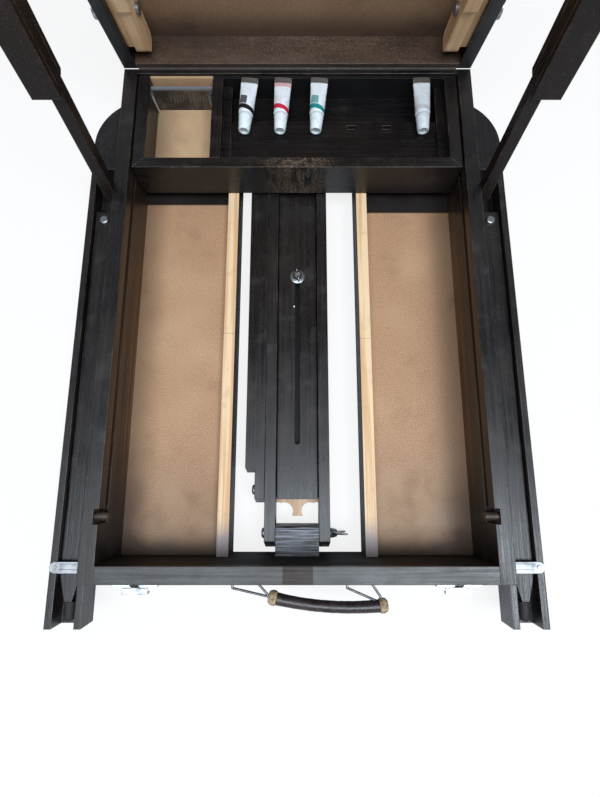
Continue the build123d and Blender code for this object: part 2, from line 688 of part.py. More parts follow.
# Pale holder strips that slide up the lid on their clamp bolts
HOLDER_END = HOLDER_START + HOLDER_LONG
KNOB_OUTER = HALF_WIDTH + JOINT_GAP + CLAMP_KNOB_THICK
for label, sign in SIDES:
    with BuildPart(LID_PLANE) as holder_strip:
        slab(
            (HOLDER_START, HOLDER_END),
            (sign * HOLDER_FACE, sign * (HOLDER_FACE + HOLDER_THICK)),
            (HOLDER_RISE, HOLDER_RISE + HOLDER_WIDE),
        )
        low_edges = (
            holder_strip.edges()
            .filter_by(Axis.X)
            .sort_by(Axis((0, 0, 0), LID_PLANE.x_dir))[:2]
        )
        fillet(low_edges, HOLDER_ROUND)
        slab(
            (HOLDER_LIP_START, HOLDER_LIP_START + HOLDER_LIP_LONG),
            (sign * HOLDER_FACE, sign * (HOLDER_FACE + HOLDER_THICK)),
            (HOLDER_RISE - HOLDER_LIP_RISE, HOLDER_RISE),
        )
        with Locations(
            Location((CLAMP_ALONG, sign * (HOLDER_FACE + HOLDER_THICK / 2), HOLDER_MID), (90, 0, 0))
        ):
            Cylinder(CLAMP_BOLT_RADIUS, HOLDER_THICK, mode=Mode.SUBTRACT)
    save(holder_strip, f"holder_strip_{label}")

    # Clamp bolt: head inside, knob outside the lid
    with BuildPart(LID_PLANE) as clamp_bolt:
        bolt_long = KNOB_OUTER - HOLDER_FACE
        with Locations(
            Location((CLAMP_ALONG, sign * (HOLDER_FACE + bolt_long / 2), HOLDER_MID), (90, 0, 0))
        ):
            Cylinder(CLAMP_BOLT_RADIUS, bolt_long)
        with Locations(
            Location((CLAMP_ALONG, sign * (HOLDER_FACE - BOLT_HEAD_HIGH / 2), HOLDER_MID), (90, 0, 0))
        ):
            Cylinder(BOLT_HEAD_RADIUS, BOLT_HEAD_HIGH)
        with Locations(
            Location((CLAMP_ALONG, sign * (KNOB_OUTER - CLAMP_KNOB_THICK / 2), HOLDER_MID), (90, 0, 0))
        ):
            Cylinder(CLAMP_KNOB_RADIUS, CLAMP_KNOB_THICK)
    save(clamp_bolt, f"clamp_bolt_{label}")


# ---- Stays: a rod pivoted on the box and a grooved bar that slides along it ----
for label, sign in SIDES:
    with BuildPart(STAY_PLANE) as stay_rod:
        slab(
            (-STAY_END, STAY_LONG - STAY_BAR_WIDE / 2 - STAY_TRAVEL),
            (sign * STAY_FACE, sign * (STAY_FACE + STAY_ROD)),
            (-STAY_ROD / 2, STAY_ROD / 2),
        )
        ends = (
            stay_rod.edges()
            .filter_by(Axis.X)
            .sort_by(Axis((0, 0, 0), STAY_PLANE.x_dir))[:2]
        )
        fillet(ends, STAY_ROD / 2 - JOINT_GAP)
        with Locations(Location((0, sign * (STAY_FACE + STAY_MID) / 2, 0), (90, 0, 0))):
            Cylinder(STAY_BOLT_RADIUS + 0.05, STAY_ROD / 2 + 2 * JOINT_GAP, mode=Mode.SUBTRACT)
    save(stay_rod, f"stay_rod_{label}")

    with BuildPart(STAY_PLANE) as stay_bar:
        slab(
            (STAY_LAP - STAY_BAR_WIDE, STAY_LONG + STAY_END),
            (sign * STAY_FACE, sign * (STAY_FACE + STAY_BAR_THICK)),
            (-STAY_BAR_WIDE / 2, STAY_BAR_WIDE / 2),
        )
        upper_corners = (
            stay_bar.edges()
            .filter_by(Axis.X)
            .sort_by(Axis((0, 0, 0), STAY_PLANE.x_dir))[-2:]
        )
        fillet(upper_corners, STAY_ROUND)
        slab(
            (STAY_LAP - STAY_BAR_WIDE, STAY_LONG - STAY_BAR_WIDE / 2),
            (sign * STAY_FACE, sign * (STAY_FACE + STAY_ROD + STAY_SLIT)),
            (-STAY_GROOVE / 2, STAY_GROOVE / 2),
            mode=Mode.SUBTRACT,
        )
        # The lower end is cut on a slant, longest at the front
        with Locations(Location((STAY_LAP, sign * STAY_FACE, 0), (0, STAY_SLANT, 0))):
            Box(
                2 * STAY_BAR_WIDE,
                4 * STAY_BAR_THICK,
                3 * STAY_BAR_WIDE,
                align=(Align.MAX, Align.CENTER, Align.CENTER),
                mode=Mode.SUBTRACT,
            )
        with Locations(Location((STAY_LONG, sign * (STAY_FACE + STAY_BAR_THICK / 2), 0), (90, 0, 0))):
            Cylinder(STAY_BOLT_RADIUS, STAY_BAR_THICK, mode=Mode.SUBTRACT)
    save(stay_bar, f"stay_bar_{label}")

    # Bolt of the stay's upper end, with its dome head outside
    with BuildPart(STAY_PLANE) as stay_top_bolt:
        with Locations(Location((STAY_LONG, sign * (STAY_FACE + STAY_BAR_THICK / 2), 0), (90, 0, 0))):
            Cylinder(STAY_BOLT_RADIUS, STAY_BAR_THICK)
        head_mid = STAY_FACE + STAY_BAR_THICK + BOLT_HEAD_HIGH / 2
        with Locations(Location((STAY_LONG, sign * head_mid, 0), (90, 0, 0))):
            Cylinder(BOLT_HEAD_RADIUS, BOLT_HEAD_HIGH)
        rim = stay_top_bolt.faces().filter_by(Axis.X).sort_by(Axis.X)[-1 if sign > 0 else 0]
        fillet(rim.edges(), BOLT_HEAD_HIGH * 0.8)
    save(stay_top_bolt, f"stay_top_bolt_{label}")


# ---- Side legs: a channel pivoted at the rear, and an inner leg that slides out at the front ----
def wing_nut(foot, out, wing_axis, nut_high, wing_high):
    """Wing nut standing on a point: a round boss and two flat wings, in the part being built."""
    wings = Plane(origin=foot, x_dir=wing_axis, z_dir=out)
    with BuildSketch(wings) as boss:
        Circle(NUT_RADIUS)
    extrude(boss.sketch, amount=nut_high)
    with BuildSketch(wings.offset(nut_high / 2)) as blade:
        Rectangle(WING_SPAN, WING_THICK)
    extrude(blade.sketch, amount=wing_high)


for label, sign in SIDES:
    with BuildPart() as leg_channel:
        slab((sign * LEG_INNER_X, sign * LEG_OUTER_X), (LEG_FRONT, LEG_REAR), (LEG_BOTTOM, LEG_TOP))
        # The rear end curves in to a point beside the box
        with BuildSketch(Plane.XY.offset(LEG_BOTTOM)) as rear_cut:
            with BuildLine():
                tip = (sign * (LEG_INNER_X + LEG_WALL), LEG_REAR)
                shoulder = (sign * LEG_OUTER_X, LEG_SHOULDER)
                middle = (sign * (LEG_OUTER_X - LEG_CURVE_IN), (LEG_REAR + LEG_SHOULDER) / 2 + LEG_CURVE_BACK)
                ThreePointArc(shoulder, middle, tip)
                Polyline(tip, (sign * LEG_OUTER_X, LEG_REAR), shoulder)
            make_face()
        extrude(amount=LEG_HIGH, mode=Mode.SUBTRACT)
        low_rear = (
            leg_channel.edges()
            .filter_by(GeomType.LINE)
            .filter_by(Axis.X)
            .group_by(Axis.Y)[-1]
            .group_by(Axis.Z)[0]
        )
        chamfer(low_rear, LEG_HEAD_ROUND)
        slab(
            (sign * (LEG_INNER_X + LEG_WALL), sign * (LEG_OUTER_X - LEG_WALL)),
            (LEG_FRONT, LEG_TROUGH_END),
            (LEG_BOTTOM + LEG_BASE, LEG_TOP),
            mode=Mode.SUBTRACT,
        )
        # Slot in the base for the inner leg's lock bolt
        slab(
            (
                sign * (LEG_MID_X - LOCK_BOLT_RADIUS - JOINT_GAP),
                sign * (LEG_MID_X + LOCK_BOLT_RADIUS + JOINT_GAP),
            ),
            (LOCK_Y - LEG_TRAVEL - 2 * LOCK_BOLT_RADIUS, LOCK_Y + 2 * LOCK_BOLT_RADIUS),
            (LEG_BOTTOM, LEG_BOTTOM + LEG_BASE),
            mode=Mode.SUBTRACT,
        )
        rod(
            (sign * LEG_INNER_X, LEG_PIVOT_Y, LEG_MID_Z),
            (sign * LEG_OUTER_X, LEG_PIVOT_Y, LEG_MID_Z),
            LEG_BOLT_RADIUS + 0.05,
            mode=Mode.SUBTRACT,
        )
    save(leg_channel, f"leg_channel_{label}")

    with BuildPart() as leg_inner:
        with BuildSketch(Plane.XY.offset(INNER_BOTTOM)):
            with BuildLine():
                Polyline(
                    (sign * LEG_MID_X - INNER_WIDE / 2, INNER_REAR),
                    (sign * LEG_MID_X + INNER_WIDE / 2, INNER_REAR),
                    (sign * LEG_MID_X + INNER_WIDE / 2, INNER_TAPER),
                    (sign * LEG_MID_X + TOE_WIDE / 2, INNER_TOE),
                    (sign * LEG_MID_X - TOE_WIDE / 2, INNER_TOE),
                    (sign * LEG_MID_X - INNER_WIDE / 2, INNER_TAPER),
                    close=True,
                )
            make_face()
        extrude(amount=INNER_TOP - INNER_BOTTOM)
        rod(
            (sign * LEG_MID_X, LOCK_Y, INNER_BOTTOM),
            (sign * LEG_MID_X, LOCK_Y, INNER_TOP),
            LOCK_BOLT_RADIUS,
            mode=Mode.SUBTRACT,
        )
    save(leg_inner, f"leg_inner_{label}")

    # Round rubber tip on the toe
    tip_z = (INNER_TOP + INNER_BOTTOM) / 2
    with BuildPart() as leg_tip:
        rod(
            (sign * LEG_MID_X, INNER_TOE - TIP_LONG, tip_z),
            (sign * LEG_MID_X, INNER_TOE, tip_z),
            TIP_RADIUS,
        )
        front_rim = leg_tip.edges().group_by(Axis.Y)[0]
        fillet(front_rim, TIP_RADIUS * 0.8)
    save(leg_tip, f"leg_tip_{label}")

    # Pressed strap across the channel's walls, with two ribs and two screws
    with BuildPart() as leg_strap:
        slab(
            (sign * (LEG_INNER_X + STRAP_WIDE / 2), sign * (LEG_OUTER_X - STRAP_WIDE / 2)),
            (STRAP_Y - STRAP_WIDE / 2, STRAP_Y + STRAP_WIDE / 2),
            (LEG_TOP, LEG_TOP + STRAP_THICK),
        )
        slab(
            (sign * LEG_INNER_X, sign * (LEG_INNER_X + STRAP_WIDE / 2)),
            (STRAP_Y - STRAP_WIDE / 2, STRAP_Y + STRAP_WIDE / 2),
            (LEG_TOP, LEG_TOP + STRAP_THICK),
        )
        rod(
            (sign * (LEG_OUTER_X - STRAP_WIDE / 2), STRAP_Y, LEG_TOP),
            (sign * (LEG_OUTER_X - STRAP_WIDE / 2), STRAP_Y, LEG_TOP + STRAP_THICK),
            STRAP_WIDE / 2,
        )
        for offset in (-STRAP_WIDE / 4, STRAP_WIDE / 4):
            slab(
                (sign * (LEG_INNER_X + STRAP_WIDE / 4), sign * (LEG_OUTER_X - STRAP_WIDE)),
                (STRAP_Y + offset - STRAP_RIB, STRAP_Y + offset + STRAP_RIB),
                (LEG_TOP + STRAP_THICK, LEG_TOP + STRAP_THICK + STRAP_RIB),
            )
        rod(
            (sign * (LEG_OUTER_X - STRAP_WIDE / 2), STRAP_Y, LEG_TOP + STRAP_THICK),
            (sign * (LEG_OUTER_X - STRAP_WIDE / 2), STRAP_Y, LEG_TOP + STRAP_THICK + STRAP_RIB),
            SCREW_RADIUS,
        )
    save(leg_strap, f"leg_strap_{label}")

    # Lock bolt: dome head on the inner leg, wing nut under the channel
    with BuildPart() as leg_lock_bolt:
        rod(
            (sign * LEG_MID_X, LOCK_Y, LEG_BOTTOM - NUT_HIGH),
            (sign * LEG_MID_X, LOCK_Y, INNER_TOP),
            LOCK_BOLT_RADIUS,
        )
        rod(
            (sign * LEG_MID_X, LOCK_Y, INNER_TOP),
            (sign * LEG_MID_X, LOCK_Y, INNER_TOP + BOLT_HEAD_HIGH),
            BOLT_HEAD_RADIUS,
        )
        dome = leg_lock_bolt.edges().group_by(Axis.Z)[-1]
        fillet(dome, BOLT_HEAD_HIGH * 0.8)
        wing_nut(
            (sign * LEG_MID_X, LOCK_Y, LEG_BOTTOM - JOINT_GAP),
            (0, 0, -1),
            (0, 1, 0),
            NUT_HIGH,
            WING_HIGH,
        )
    save(leg_lock_bolt, f"leg_lock_bolt_{label}")

# Wing nuts outside the side legs' pivots
with BuildPart() as leg_pivot_nuts:
    for label, sign in SIDES:
        wing_nut(
            (sign * (LEG_OUTER_X + JOINT_GAP), LEG_PIVOT_Y, LEG_MID_Z),
            (sign, 0, 0),
            (0, 0, 1),
            NUT_HIGH,
            WING_HIGH,
        )
        rod(
            (sign * LEG_OUTER_X, LEG_PIVOT_Y, LEG_MID_Z),
            (sign * (LEG_OUTER_X + 2 * NUT_HIGH + WING_HIGH), LEG_PIVOT_Y, LEG_MID_Z),
            LEG_BOLT_RADIUS,
            mode=Mode.SUBTRACT,
        )
save(leg_pivot_nuts, "leg_pivot_nuts")

# Bolts through the side boards: the legs' bolts have sunk heads inside and a spacer outside,
# and the stays' bolts end inside the rods, so that the bars slide over them
with BuildPart() as side_pivot_bolts:
    for label, sign in SIDES:
        rod(
            (sign * (INNER_HALF + JOINT_GAP), LEG_PIVOT_Y, LEG_MID_Z),
            (sign * (LEG_OUTER_X + NUT_HIGH), LEG_PIVOT_Y, LEG_MID_Z),
            LEG_BOLT_RADIUS,
        )
        rod(
            (sign * (INNER_HALF + JOINT_GAP), LEG_PIVOT_Y, LEG_MID_Z),
            (sign * (INNER_HALF + BOLT_HEAD_HIGH), LEG_PIVOT_Y, LEG_MID_Z),
            BOLT_HEAD_RADIUS,
        )
        rod(
            (sign * HALF_WIDTH, LEG_PIVOT_Y, LEG_MID_Z),
            (sign * (LEG_INNER_X - JOINT_GAP), LEG_PIVOT_Y, LEG_MID_Z),
            BOLT_HEAD_RADIUS,
        )
        rod(
            (sign * (HALF_WIDTH - SIDE_THICK / 2), STAY_PIVOT_Y, STAY_PIVOT_Z),
            (sign * STAY_MID, STAY_PIVOT_Y, STAY_PIVOT_Z),
            STAY_BOLT_RADIUS,
        )
save(side_pivot_bolts, "side_pivot_bolts")


# ---- Centre leg: two walls and a pale base, pivoted on the block, with a slotted plank ----
with BuildPart() as centre_leg_walls:
    for label, sign in SIDES:
        with BuildSketch(Plane.YZ.offset(sign * (CENTRE_HALF + CENTRE_WALL / 2))):
            with BuildLine():
                Polyline(
                    (CENTRE_FRONT_LOW, CENTRE_BOTTOM),
                    (CENTRE_REAR, CENTRE_BOTTOM),
                    (CENTRE_REAR, CENTRE_TOP),
                    (CENTRE_FRONT_TOP, CENTRE_TOP),
                    close=True,
                )
            make_face()
        extrude(amount=CENTRE_WALL / 2, both=True)
        rod(
            (sign * CENTRE_HALF, CENTRE_PIVOT_Y, CENTRE_PIVOT_Z),
            (sign * CENTRE_OUTER, CENTRE_PIVOT_Y, CENTRE_PIVOT_Z),
            STAY_BOLT_RADIUS + 0.05,
            mode=Mode.SUBTRACT,
        )
    rod(
        (-CENTRE_OUTER, BRACE_PIVOT_Y, BRACE_BOTTOM + BRACE_HIGH / 2),
        (-CENTRE_HALF, BRACE_PIVOT_Y, BRACE_BOTTOM + BRACE_HIGH / 2),
        LOCK_BOLT_RADIUS,
        mode=Mode.SUBTRACT,
    )
save(centre_leg_walls, "centre_leg_walls")

# Base board with two scallops at its front end, so that it clears the block
with BuildPart() as centre_leg_base:
    with BuildSketch(Plane.XY.offset(CENTRE_BOTTOM)):
        with Locations((0, (BASE_FRONT + CENTRE_REAR) / 2)):
            Rectangle(CENTRE_INNER, CENTRE_REAR - BASE_FRONT)
        for label, sign in SIDES:
            with Locations((sign * (BASE_WAIST / 2 + BASE_SCALLOP), BASE_FRONT + BASE_SCALLOP / 2)):
                Circle(BASE_SCALLOP, mode=Mode.SUBTRACT)
            with Locations((sign * CENTRE_HALF, BASE_FRONT + BASE_SCALLOP / 2)):
                Rectangle(BASE_SCALLOP, 2 * BASE_SCALLOP, mode=Mode.SUBTRACT)
    extrude(amount=CENTRE_BASE)
    rod(
        (0, PLANK_NUT_Y, CENTRE_BOTTOM),
        (0, PLANK_NUT_Y, CENTRE_BOTTOM + CENTRE_BASE),
        LOCK_BOLT_RADIUS,
        mode=Mode.SUBTRACT,
    )
save(centre_leg_base, "centre_leg_base")

SLOT_REAR = PLANK_NUT_Y + SLOT_WIDE
PLANK_TRAVEL = PLANK_NUT_Y - SLOT_FRONT - SLOT_WIDE
with BuildPart() as centre_leg_plank:
    slab((-PLANK_HALF, PLANK_HALF), (PLANK_FRONT, PLANK_REAR), (PLANK_BOTTOM, PLANK_TOP))
    with BuildSketch(Plane.XY.offset(PLANK_BOTTOM)):
        with Locations((0, (SLOT_FRONT + SLOT_REAR) / 2)):
            SlotOverall(SLOT_REAR - SLOT_FRONT, SLOT_WIDE, rotation=90)
    extrude(amount=PLANK_THICK, mode=Mode.SUBTRACT)
save(centre_leg_plank, "centre_leg_plank")

with BuildPart() as plank_wing_nut:
    washer_top = PLANK_TOP + JOINT_GAP + STRAP_THICK
    rod((0, PLANK_NUT_Y, PLANK_TOP + JOINT_GAP), (0, PLANK_NUT_Y, washer_top), PLANK_WASHER_RADIUS)
    nut_turn = math.radians(PLANK_NUT_TURN)
    wing_axis = (-math.sin(nut_turn), math.cos(nut_turn), 0)
    wing_nut((0, PLANK_NUT_Y, washer_top), (0, 0, 1), wing_axis, PLANK_NUT_HIGH, PLANK_WING_HIGH)
    rod(
        (0, PLANK_NUT_Y, PLANK_TOP),
        (0, PLANK_NUT_Y, TRAY_BOTTOM),
        LOCK_BOLT_RADIUS + 0.05,
        mode=Mode.SUBTRACT,
    )
save(plank_wing_nut, "plank_wing_nut")

# Pivot bolt of the centre leg, with a dome head on the left
with BuildPart() as centre_pivot_bolt:
    rod(
        (-CENTRE_OUTER - JOINT_GAP, CENTRE_PIVOT_Y, CENTRE_PIVOT_Z),
        (CENTRE_OUTER + JOINT_GAP + NUT_HIGH, CENTRE_PIVOT_Y, CENTRE_PIVOT_Z),
        STAY_BOLT_RADIUS,
    )
    rod(
        (-CENTRE_OUTER - JOINT_GAP, CENTRE_PIVOT_Y, CENTRE_PIVOT_Z),
        (-CENTRE_OUTER - JOINT_GAP - BOLT_HEAD_HIGH, CENTRE_PIVOT_Y, CENTRE_PIVOT_Z),
        BOLT_HEAD_RADIUS,
    )
    dome = centre_pivot_bolt.edges().group_by(Axis.X)[0]
    fillet(dome, BOLT_HEAD_HIGH * 0.8)
save(centre_pivot_bolt, "centre_pivot_bolt")

with BuildPart() as centre_pivot_nut:
    nut_foot = (CENTRE_OUTER + JOINT_GAP, CENTRE_PIVOT_Y, CENTRE_PIVOT_Z)
    wing_nut(nut_foot, (1, 0, 0), (0, 0, 1), NUT_HIGH, 2 * WING_HIGH)
    rod(
        nut_foot,
        (CENTRE_OUTER + 4 * WING_HIGH, CENTRE_PIVOT_Y, CENTRE_PIVOT_Z),
        STAY_BOLT_RADIUS + 0.05,
        mode=Mode.SUBTRACT,
    )
save(centre_pivot_nut, "centre_pivot_nut")

# Brace of the centre leg: two bars side by side, with slanted front ends
BRACE_INNER_X = -CENTRE_OUTER - BRACE_GAP
BRACE_PIVOT_Z = BRACE_BOTTOM + BRACE_HIGH / 2
BRACE_TOP = BRACE_BOTTOM + BRACE_HIGH
BRACE_OUTER_X = BRACE_INNER_X - 2 * BRACE_THICK
with BuildPart() as brace_bars:
    for order, front in enumerate((BRACE_FRONT, BRACE_OUTER_FRONT)):
        face_x = BRACE_INNER_X - order * BRACE_THICK
        with BuildSketch(Plane.YZ.offset(face_x)):
            with BuildLine():
                Polyline(
                    (front, BRACE_TOP),
                    (front - BRACE_SLANT, BRACE_BOTTOM),
                    (BRACE_REAR, BRACE_BOTTOM),
                    (BRACE_REAR, BRACE_TOP),
                    close=True,
                )
            make_face()
        extrude(amount=-BRACE_THICK)
    rod(
        (BRACE_INNER_X, BRACE_PIVOT_Y, BRACE_PIVOT_Z),
        (BRACE_INNER_X - BRACE_THICK, BRACE_PIVOT_Y, BRACE_PIVOT_Z),
        LOCK_BOLT_RADIUS + 0.05,
        mode=Mode.SUBTRACT,
    )
save(brace_bars, "brace_bars")

# Bolts carried by the centre leg: the plank's clamp bolt and the brace's pivot bolt
with BuildPart() as centre_leg_bolts:
    brace_head_x = BRACE_INNER_X - BRACE_THICK - JOINT_GAP
    rod(
        (-CENTRE_HALF, BRACE_PIVOT_Y, BRACE_PIVOT_Z),
        (brace_head_x, BRACE_PIVOT_Y, BRACE_PIVOT_Z),
        LOCK_BOLT_RADIUS,
    )
    rod(
        (brace_head_x, BRACE_PIVOT_Y, BRACE_PIVOT_Z),
        (brace_head_x - BOLT_HEAD_HIGH, BRACE_PIVOT_Y, BRACE_PIVOT_Z),
        BOLT_HEAD_RADIUS,
    )
    dome = centre_leg_bolts.edges().group_by(Axis.X)[0]
    fillet(dome, BOLT_HEAD_HIGH * 0.8)
    rod(
        (0, PLANK_NUT_Y, CENTRE_BOTTOM),
        (0, PLANK_NUT_Y, PLANK_TOP + STRAP_THICK + PLANK_NUT_HIGH),
        LOCK_BOLT_RADIUS,
    )
save(centre_leg_bolts, "centre_leg_bolts")


# ---- Front hardware: handle on two wire loops ----
LOOP_Y = FRONT_Y - STAPLE_THICK - LOOP_RADIUS - JOINT_GAP
with BuildPart() as handle_staples:
    bridge = LOOP_Y - LOOP_RADIUS - JOINT_GAP
    span = LOOP_RADIUS + JOINT_GAP
    for middle in STAPLE_PLACES:
        slab(
            (middle - STAPLE_WIDE / 2, middle + STAPLE_WIDE / 2),
            (FRONT_Y - STAPLE_THICK, FRONT_Y),
            (HANDLE_Z - STAPLE_HIGH / 2, HANDLE_Z + STAPLE_HIGH / 2),
        )
        # Bridge over the loop's straight end
        for side in (-1, 1):
            slab(
                (middle - STAPLE_OUT / 2, middle + STAPLE_OUT / 2),
                (bridge - STAPLE_THICK, FRONT_Y - STAPLE_THICK),
                (HANDLE_Z + side * span, HANDLE_Z + side * (span + STAPLE_THICK)),
            )
        slab(
            (middle - STAPLE_OUT / 2, middle + STAPLE_OUT / 2),
            (bridge - STAPLE_THICK, bridge),
            (HANDLE_Z - span - STAPLE_THICK, HANDLE_Z + span + STAPLE_THICK),
        )
        for side in (-1, 1):
            rivet_x = middle + side * (STAPLE_WIDE / 2 - RIVET_INSET)
            rod(
                (rivet_x, FRONT_Y - STAPLE_THICK, HANDLE_Z),
                (rivet_x, FRONT_Y - STAPLE_THICK - RIVET_RADIUS / 2, HANDLE_Z),
                RIVET_RADIUS,
            )
save(handle_staples, "handle_staples")

# Leather grip, an arc that bows away from the box
grip_points = [Vector(across, FRONT_Y - out, HANDLE_Z) for across, out in GRIP_PLACES]
with BuildPart() as handle_grip:
    with BuildLine() as grip_line:
        ThreePointArc(*grip_points)
    with BuildSketch(Plane(origin=grip_line.line @ 0, z_dir=grip_line.line % 0)):
        Circle(GRIP_RADIUS)
    sweep()
save(handle_grip, "handle_grip")

# Ends of the handle: a metal cap on each end of the grip, and the wire loop it hangs on
with BuildPart() as handle_ends:
    for place, end in zip(STAPLE_PLACES, (0, 1)):
        out = (grip_line.line % end) * (2 * end - 1)
        cap_face = grip_line.line @ end
        cap_tip = cap_face + out * GRIP_CAP_LONG
        rod(cap_face, cap_tip, GRIP_CAP_RADIUS)
        corners = [
            Vector(place - LOOP_HALF, LOOP_Y, HANDLE_Z),
            Vector(place + LOOP_HALF, LOOP_Y, HANDLE_Z),
            cap_face + out * (GRIP_CAP_LONG / 2) + Vector(0, GRIP_CAP_RADIUS - LOOP_RADIUS, 0),
            Vector(place - LOOP_HALF, LOOP_Y - LOOP_STEP, HANDLE_Z),
        ]
        for start, finish in zip(corners, corners[1:] + corners[:1]):
            rod(start, finish, LOOP_RADIUS)
        for corner in corners:
            with Locations(corner):
                Sphere(LOOP_RADIUS)
save(handle_ends, "handle_ends")


# ---- Latches: a plate with a thick upper rim and a pin, a short lever, and the lid's catch ----
LATCH_PIN_Y = FRONT_Y - LATCH_PIN_OUT
LATCH_RIM_TOP = LATCH_PIN_Z + LATCH_RIM_HIGH / 2
with BuildPart() as latch_plates:
    for middle in LATCH_PLACES:
        plate_x = (middle - LATCH_PLATE_WIDE / 2, middle + LATCH_PLATE_WIDE / 2)
        slab(
            plate_x,
            (FRONT_Y - LATCH_PLATE_THICK, FRONT_Y),
            (LATCH_RIM_TOP - LATCH_PLATE_HIGH, LATCH_RIM_TOP),
        )
        slab(
            plate_x,
            (FRONT_Y - LATCH_RIM_OUT, FRONT_Y - LATCH_PLATE_THICK),
            (LATCH_RIM_TOP - LATCH_RIM_HIGH, LATCH_RIM_TOP),
        )
        slab(
            (middle - LATCH_GAP_WIDE / 2, middle + LATCH_GAP_WIDE / 2),
            (FRONT_Y - LATCH_RIM_OUT, FRONT_Y - LATCH_PLATE_THICK),
            (LATCH_RIM_TOP - LATCH_RIM_HIGH, LATCH_RIM_TOP),
            mode=Mode.SUBTRACT,
        )
        rod(
            (middle - LATCH_GAP_WIDE / 2, LATCH_PIN_Y, LATCH_PIN_Z),
            (middle + LATCH_GAP_WIDE / 2, LATCH_PIN_Y, LATCH_PIN_Z),
            LATCH_PIN_RADIUS,
        )
save(latch_plates, "latch_plates")

EYE_HALF = LATCH_GAP_WIDE / 2 - JOINT_GAP
LEVER_Z = (LATCH_PIN_Z - LATCH_LEVER_THICK / 2, LATCH_PIN_Z + LATCH_LEVER_THICK / 2)
for (label, sign), middle in zip(SIDES, LATCH_PLACES):
    with BuildPart() as latch_lever:
        lever_x = (middle - LATCH_LEVER_WIDE / 2, middle + LATCH_LEVER_WIDE / 2)
        rod(
            (middle - EYE_HALF, LATCH_PIN_Y, LATCH_PIN_Z),
            (middle + EYE_HALF, LATCH_PIN_Y, LATCH_PIN_Z),
            LATCH_EYE_RADIUS,
        )
        slab(
            (middle - EYE_HALF, middle + EYE_HALF),
            (LATCH_PIN_Y - LATCH_LEVER_START, LATCH_PIN_Y),
            LEVER_Z,
        )
        slab(lever_x, (LATCH_PIN_Y - LATCH_LEVER_END, LATCH_PIN_Y - LATCH_LEVER_START), LEVER_Z)
        slab(
            lever_x,
            (LATCH_PIN_Y - LATCH_LEVER_END, LATCH_PIN_Y - LATCH_LEVER_END + LATCH_LIP_THICK),
            (LATCH_PIN_Z - LATCH_LIP_DROP, LATCH_PIN_Z),
        )
        rod(
            (middle - EYE_HALF, LATCH_PIN_Y, LATCH_PIN_Z),
            (middle + EYE_HALF, LATCH_PIN_Y, LATCH_PIN_Z),
            LATCH_PIN_RADIUS + 0.05,
            mode=Mode.SUBTRACT,
        )
    save(latch_lever, f"latch_lever_{label}")

with BuildPart(LID_PLANE) as latch_catches:
    for middle in LATCH_PLACES:
        across = (middle - CATCH_WIDE / 2, middle + CATCH_WIDE / 2)
        slab((LID_END, LID_END + CATCH_THICK), across, (LID_SEAT + 1, LID_SEAT + 1 + CATCH_HIGH))
        slab((LID_END, LID_END + CATCH_LEDGE), across, (LID_SEAT + 1, LID_SEAT + 1 + CATCH_THICK))
save(latch_catches, "latch_catches")
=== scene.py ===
import json
import math

import bmesh
import bpy
from mathutils import Matrix, Vector


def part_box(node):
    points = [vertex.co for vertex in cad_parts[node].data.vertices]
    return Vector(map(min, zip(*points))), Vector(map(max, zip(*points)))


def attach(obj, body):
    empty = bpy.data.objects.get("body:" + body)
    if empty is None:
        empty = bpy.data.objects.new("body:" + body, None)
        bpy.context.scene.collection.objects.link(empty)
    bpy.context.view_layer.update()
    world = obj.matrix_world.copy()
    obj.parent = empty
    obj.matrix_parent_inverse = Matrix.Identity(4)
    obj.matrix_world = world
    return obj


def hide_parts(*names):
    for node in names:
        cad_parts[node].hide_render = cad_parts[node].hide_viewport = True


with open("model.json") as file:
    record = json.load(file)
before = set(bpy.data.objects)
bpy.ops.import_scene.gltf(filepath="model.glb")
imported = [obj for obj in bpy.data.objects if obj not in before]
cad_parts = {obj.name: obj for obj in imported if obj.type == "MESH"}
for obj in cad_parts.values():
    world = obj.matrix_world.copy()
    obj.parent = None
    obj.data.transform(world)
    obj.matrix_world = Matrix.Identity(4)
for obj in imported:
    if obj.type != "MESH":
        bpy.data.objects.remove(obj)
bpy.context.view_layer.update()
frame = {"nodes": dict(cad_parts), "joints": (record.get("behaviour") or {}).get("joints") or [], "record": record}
nodes = frame["nodes"]

# ---- Studio: a wide lens close above the front of the box, tilted towards the lid ----
# A broad lamp overhead, a small one to the right and a pale sky light the box. The floor
# catches its shadow, and everything behind the object is plain white.
LENS = 18.97
SENSOR_WIDE = 36.0
NEAR_CLIP = 0.01
CAMERA_PLACE = (0.003, -0.186, 0.485)
CAMERA_TILT = math.radians(10.9)
OVERHEAD_PLACE = (0.0, -0.67, 1.95)
OVERHEAD_POWER = 46.0
OVERHEAD_WIDE = 2.3
OVERHEAD_DEEP = 1.1
OVERHEAD_COLOUR = (0.83, 0.915, 1.0)
SIDE_PLACE = (0.86, -0.66, 1.85)
SIDE_POWER = 13.0
SIDE_WIDE = 0.6
SIDE_COLOUR = (0.84, 0.92, 1.0)

camera = bpy.data.objects.new("camera", bpy.data.cameras.new("camera"))
camera.data.lens = LENS
camera.data.sensor_width = SENSOR_WIDE
camera.data.clip_start = NEAR_CLIP
camera.location = CAMERA_PLACE
camera.rotation_euler = (CAMERA_TILT, 0, 0)
bpy.context.scene.collection.objects.link(camera)
bpy.context.scene.camera = camera
bpy.context.scene.view_settings.view_transform = "Standard"


def add_lamp(name, place, power, wide, deep, colour):
    """An area lamp that points at the middle of the ground."""
    light = bpy.data.lights.new(name, "AREA")
    light.energy = power
    light.shape = "RECTANGLE"
    light.size = wide
    light.size_y = deep
    light.color = colour
    lamp = bpy.data.objects.new(name, light)
    lamp.location = place
    lamp.rotation_euler = (-Vector(place)).to_track_quat("-Z", "Y").to_euler()
    bpy.context.scene.collection.objects.link(lamp)


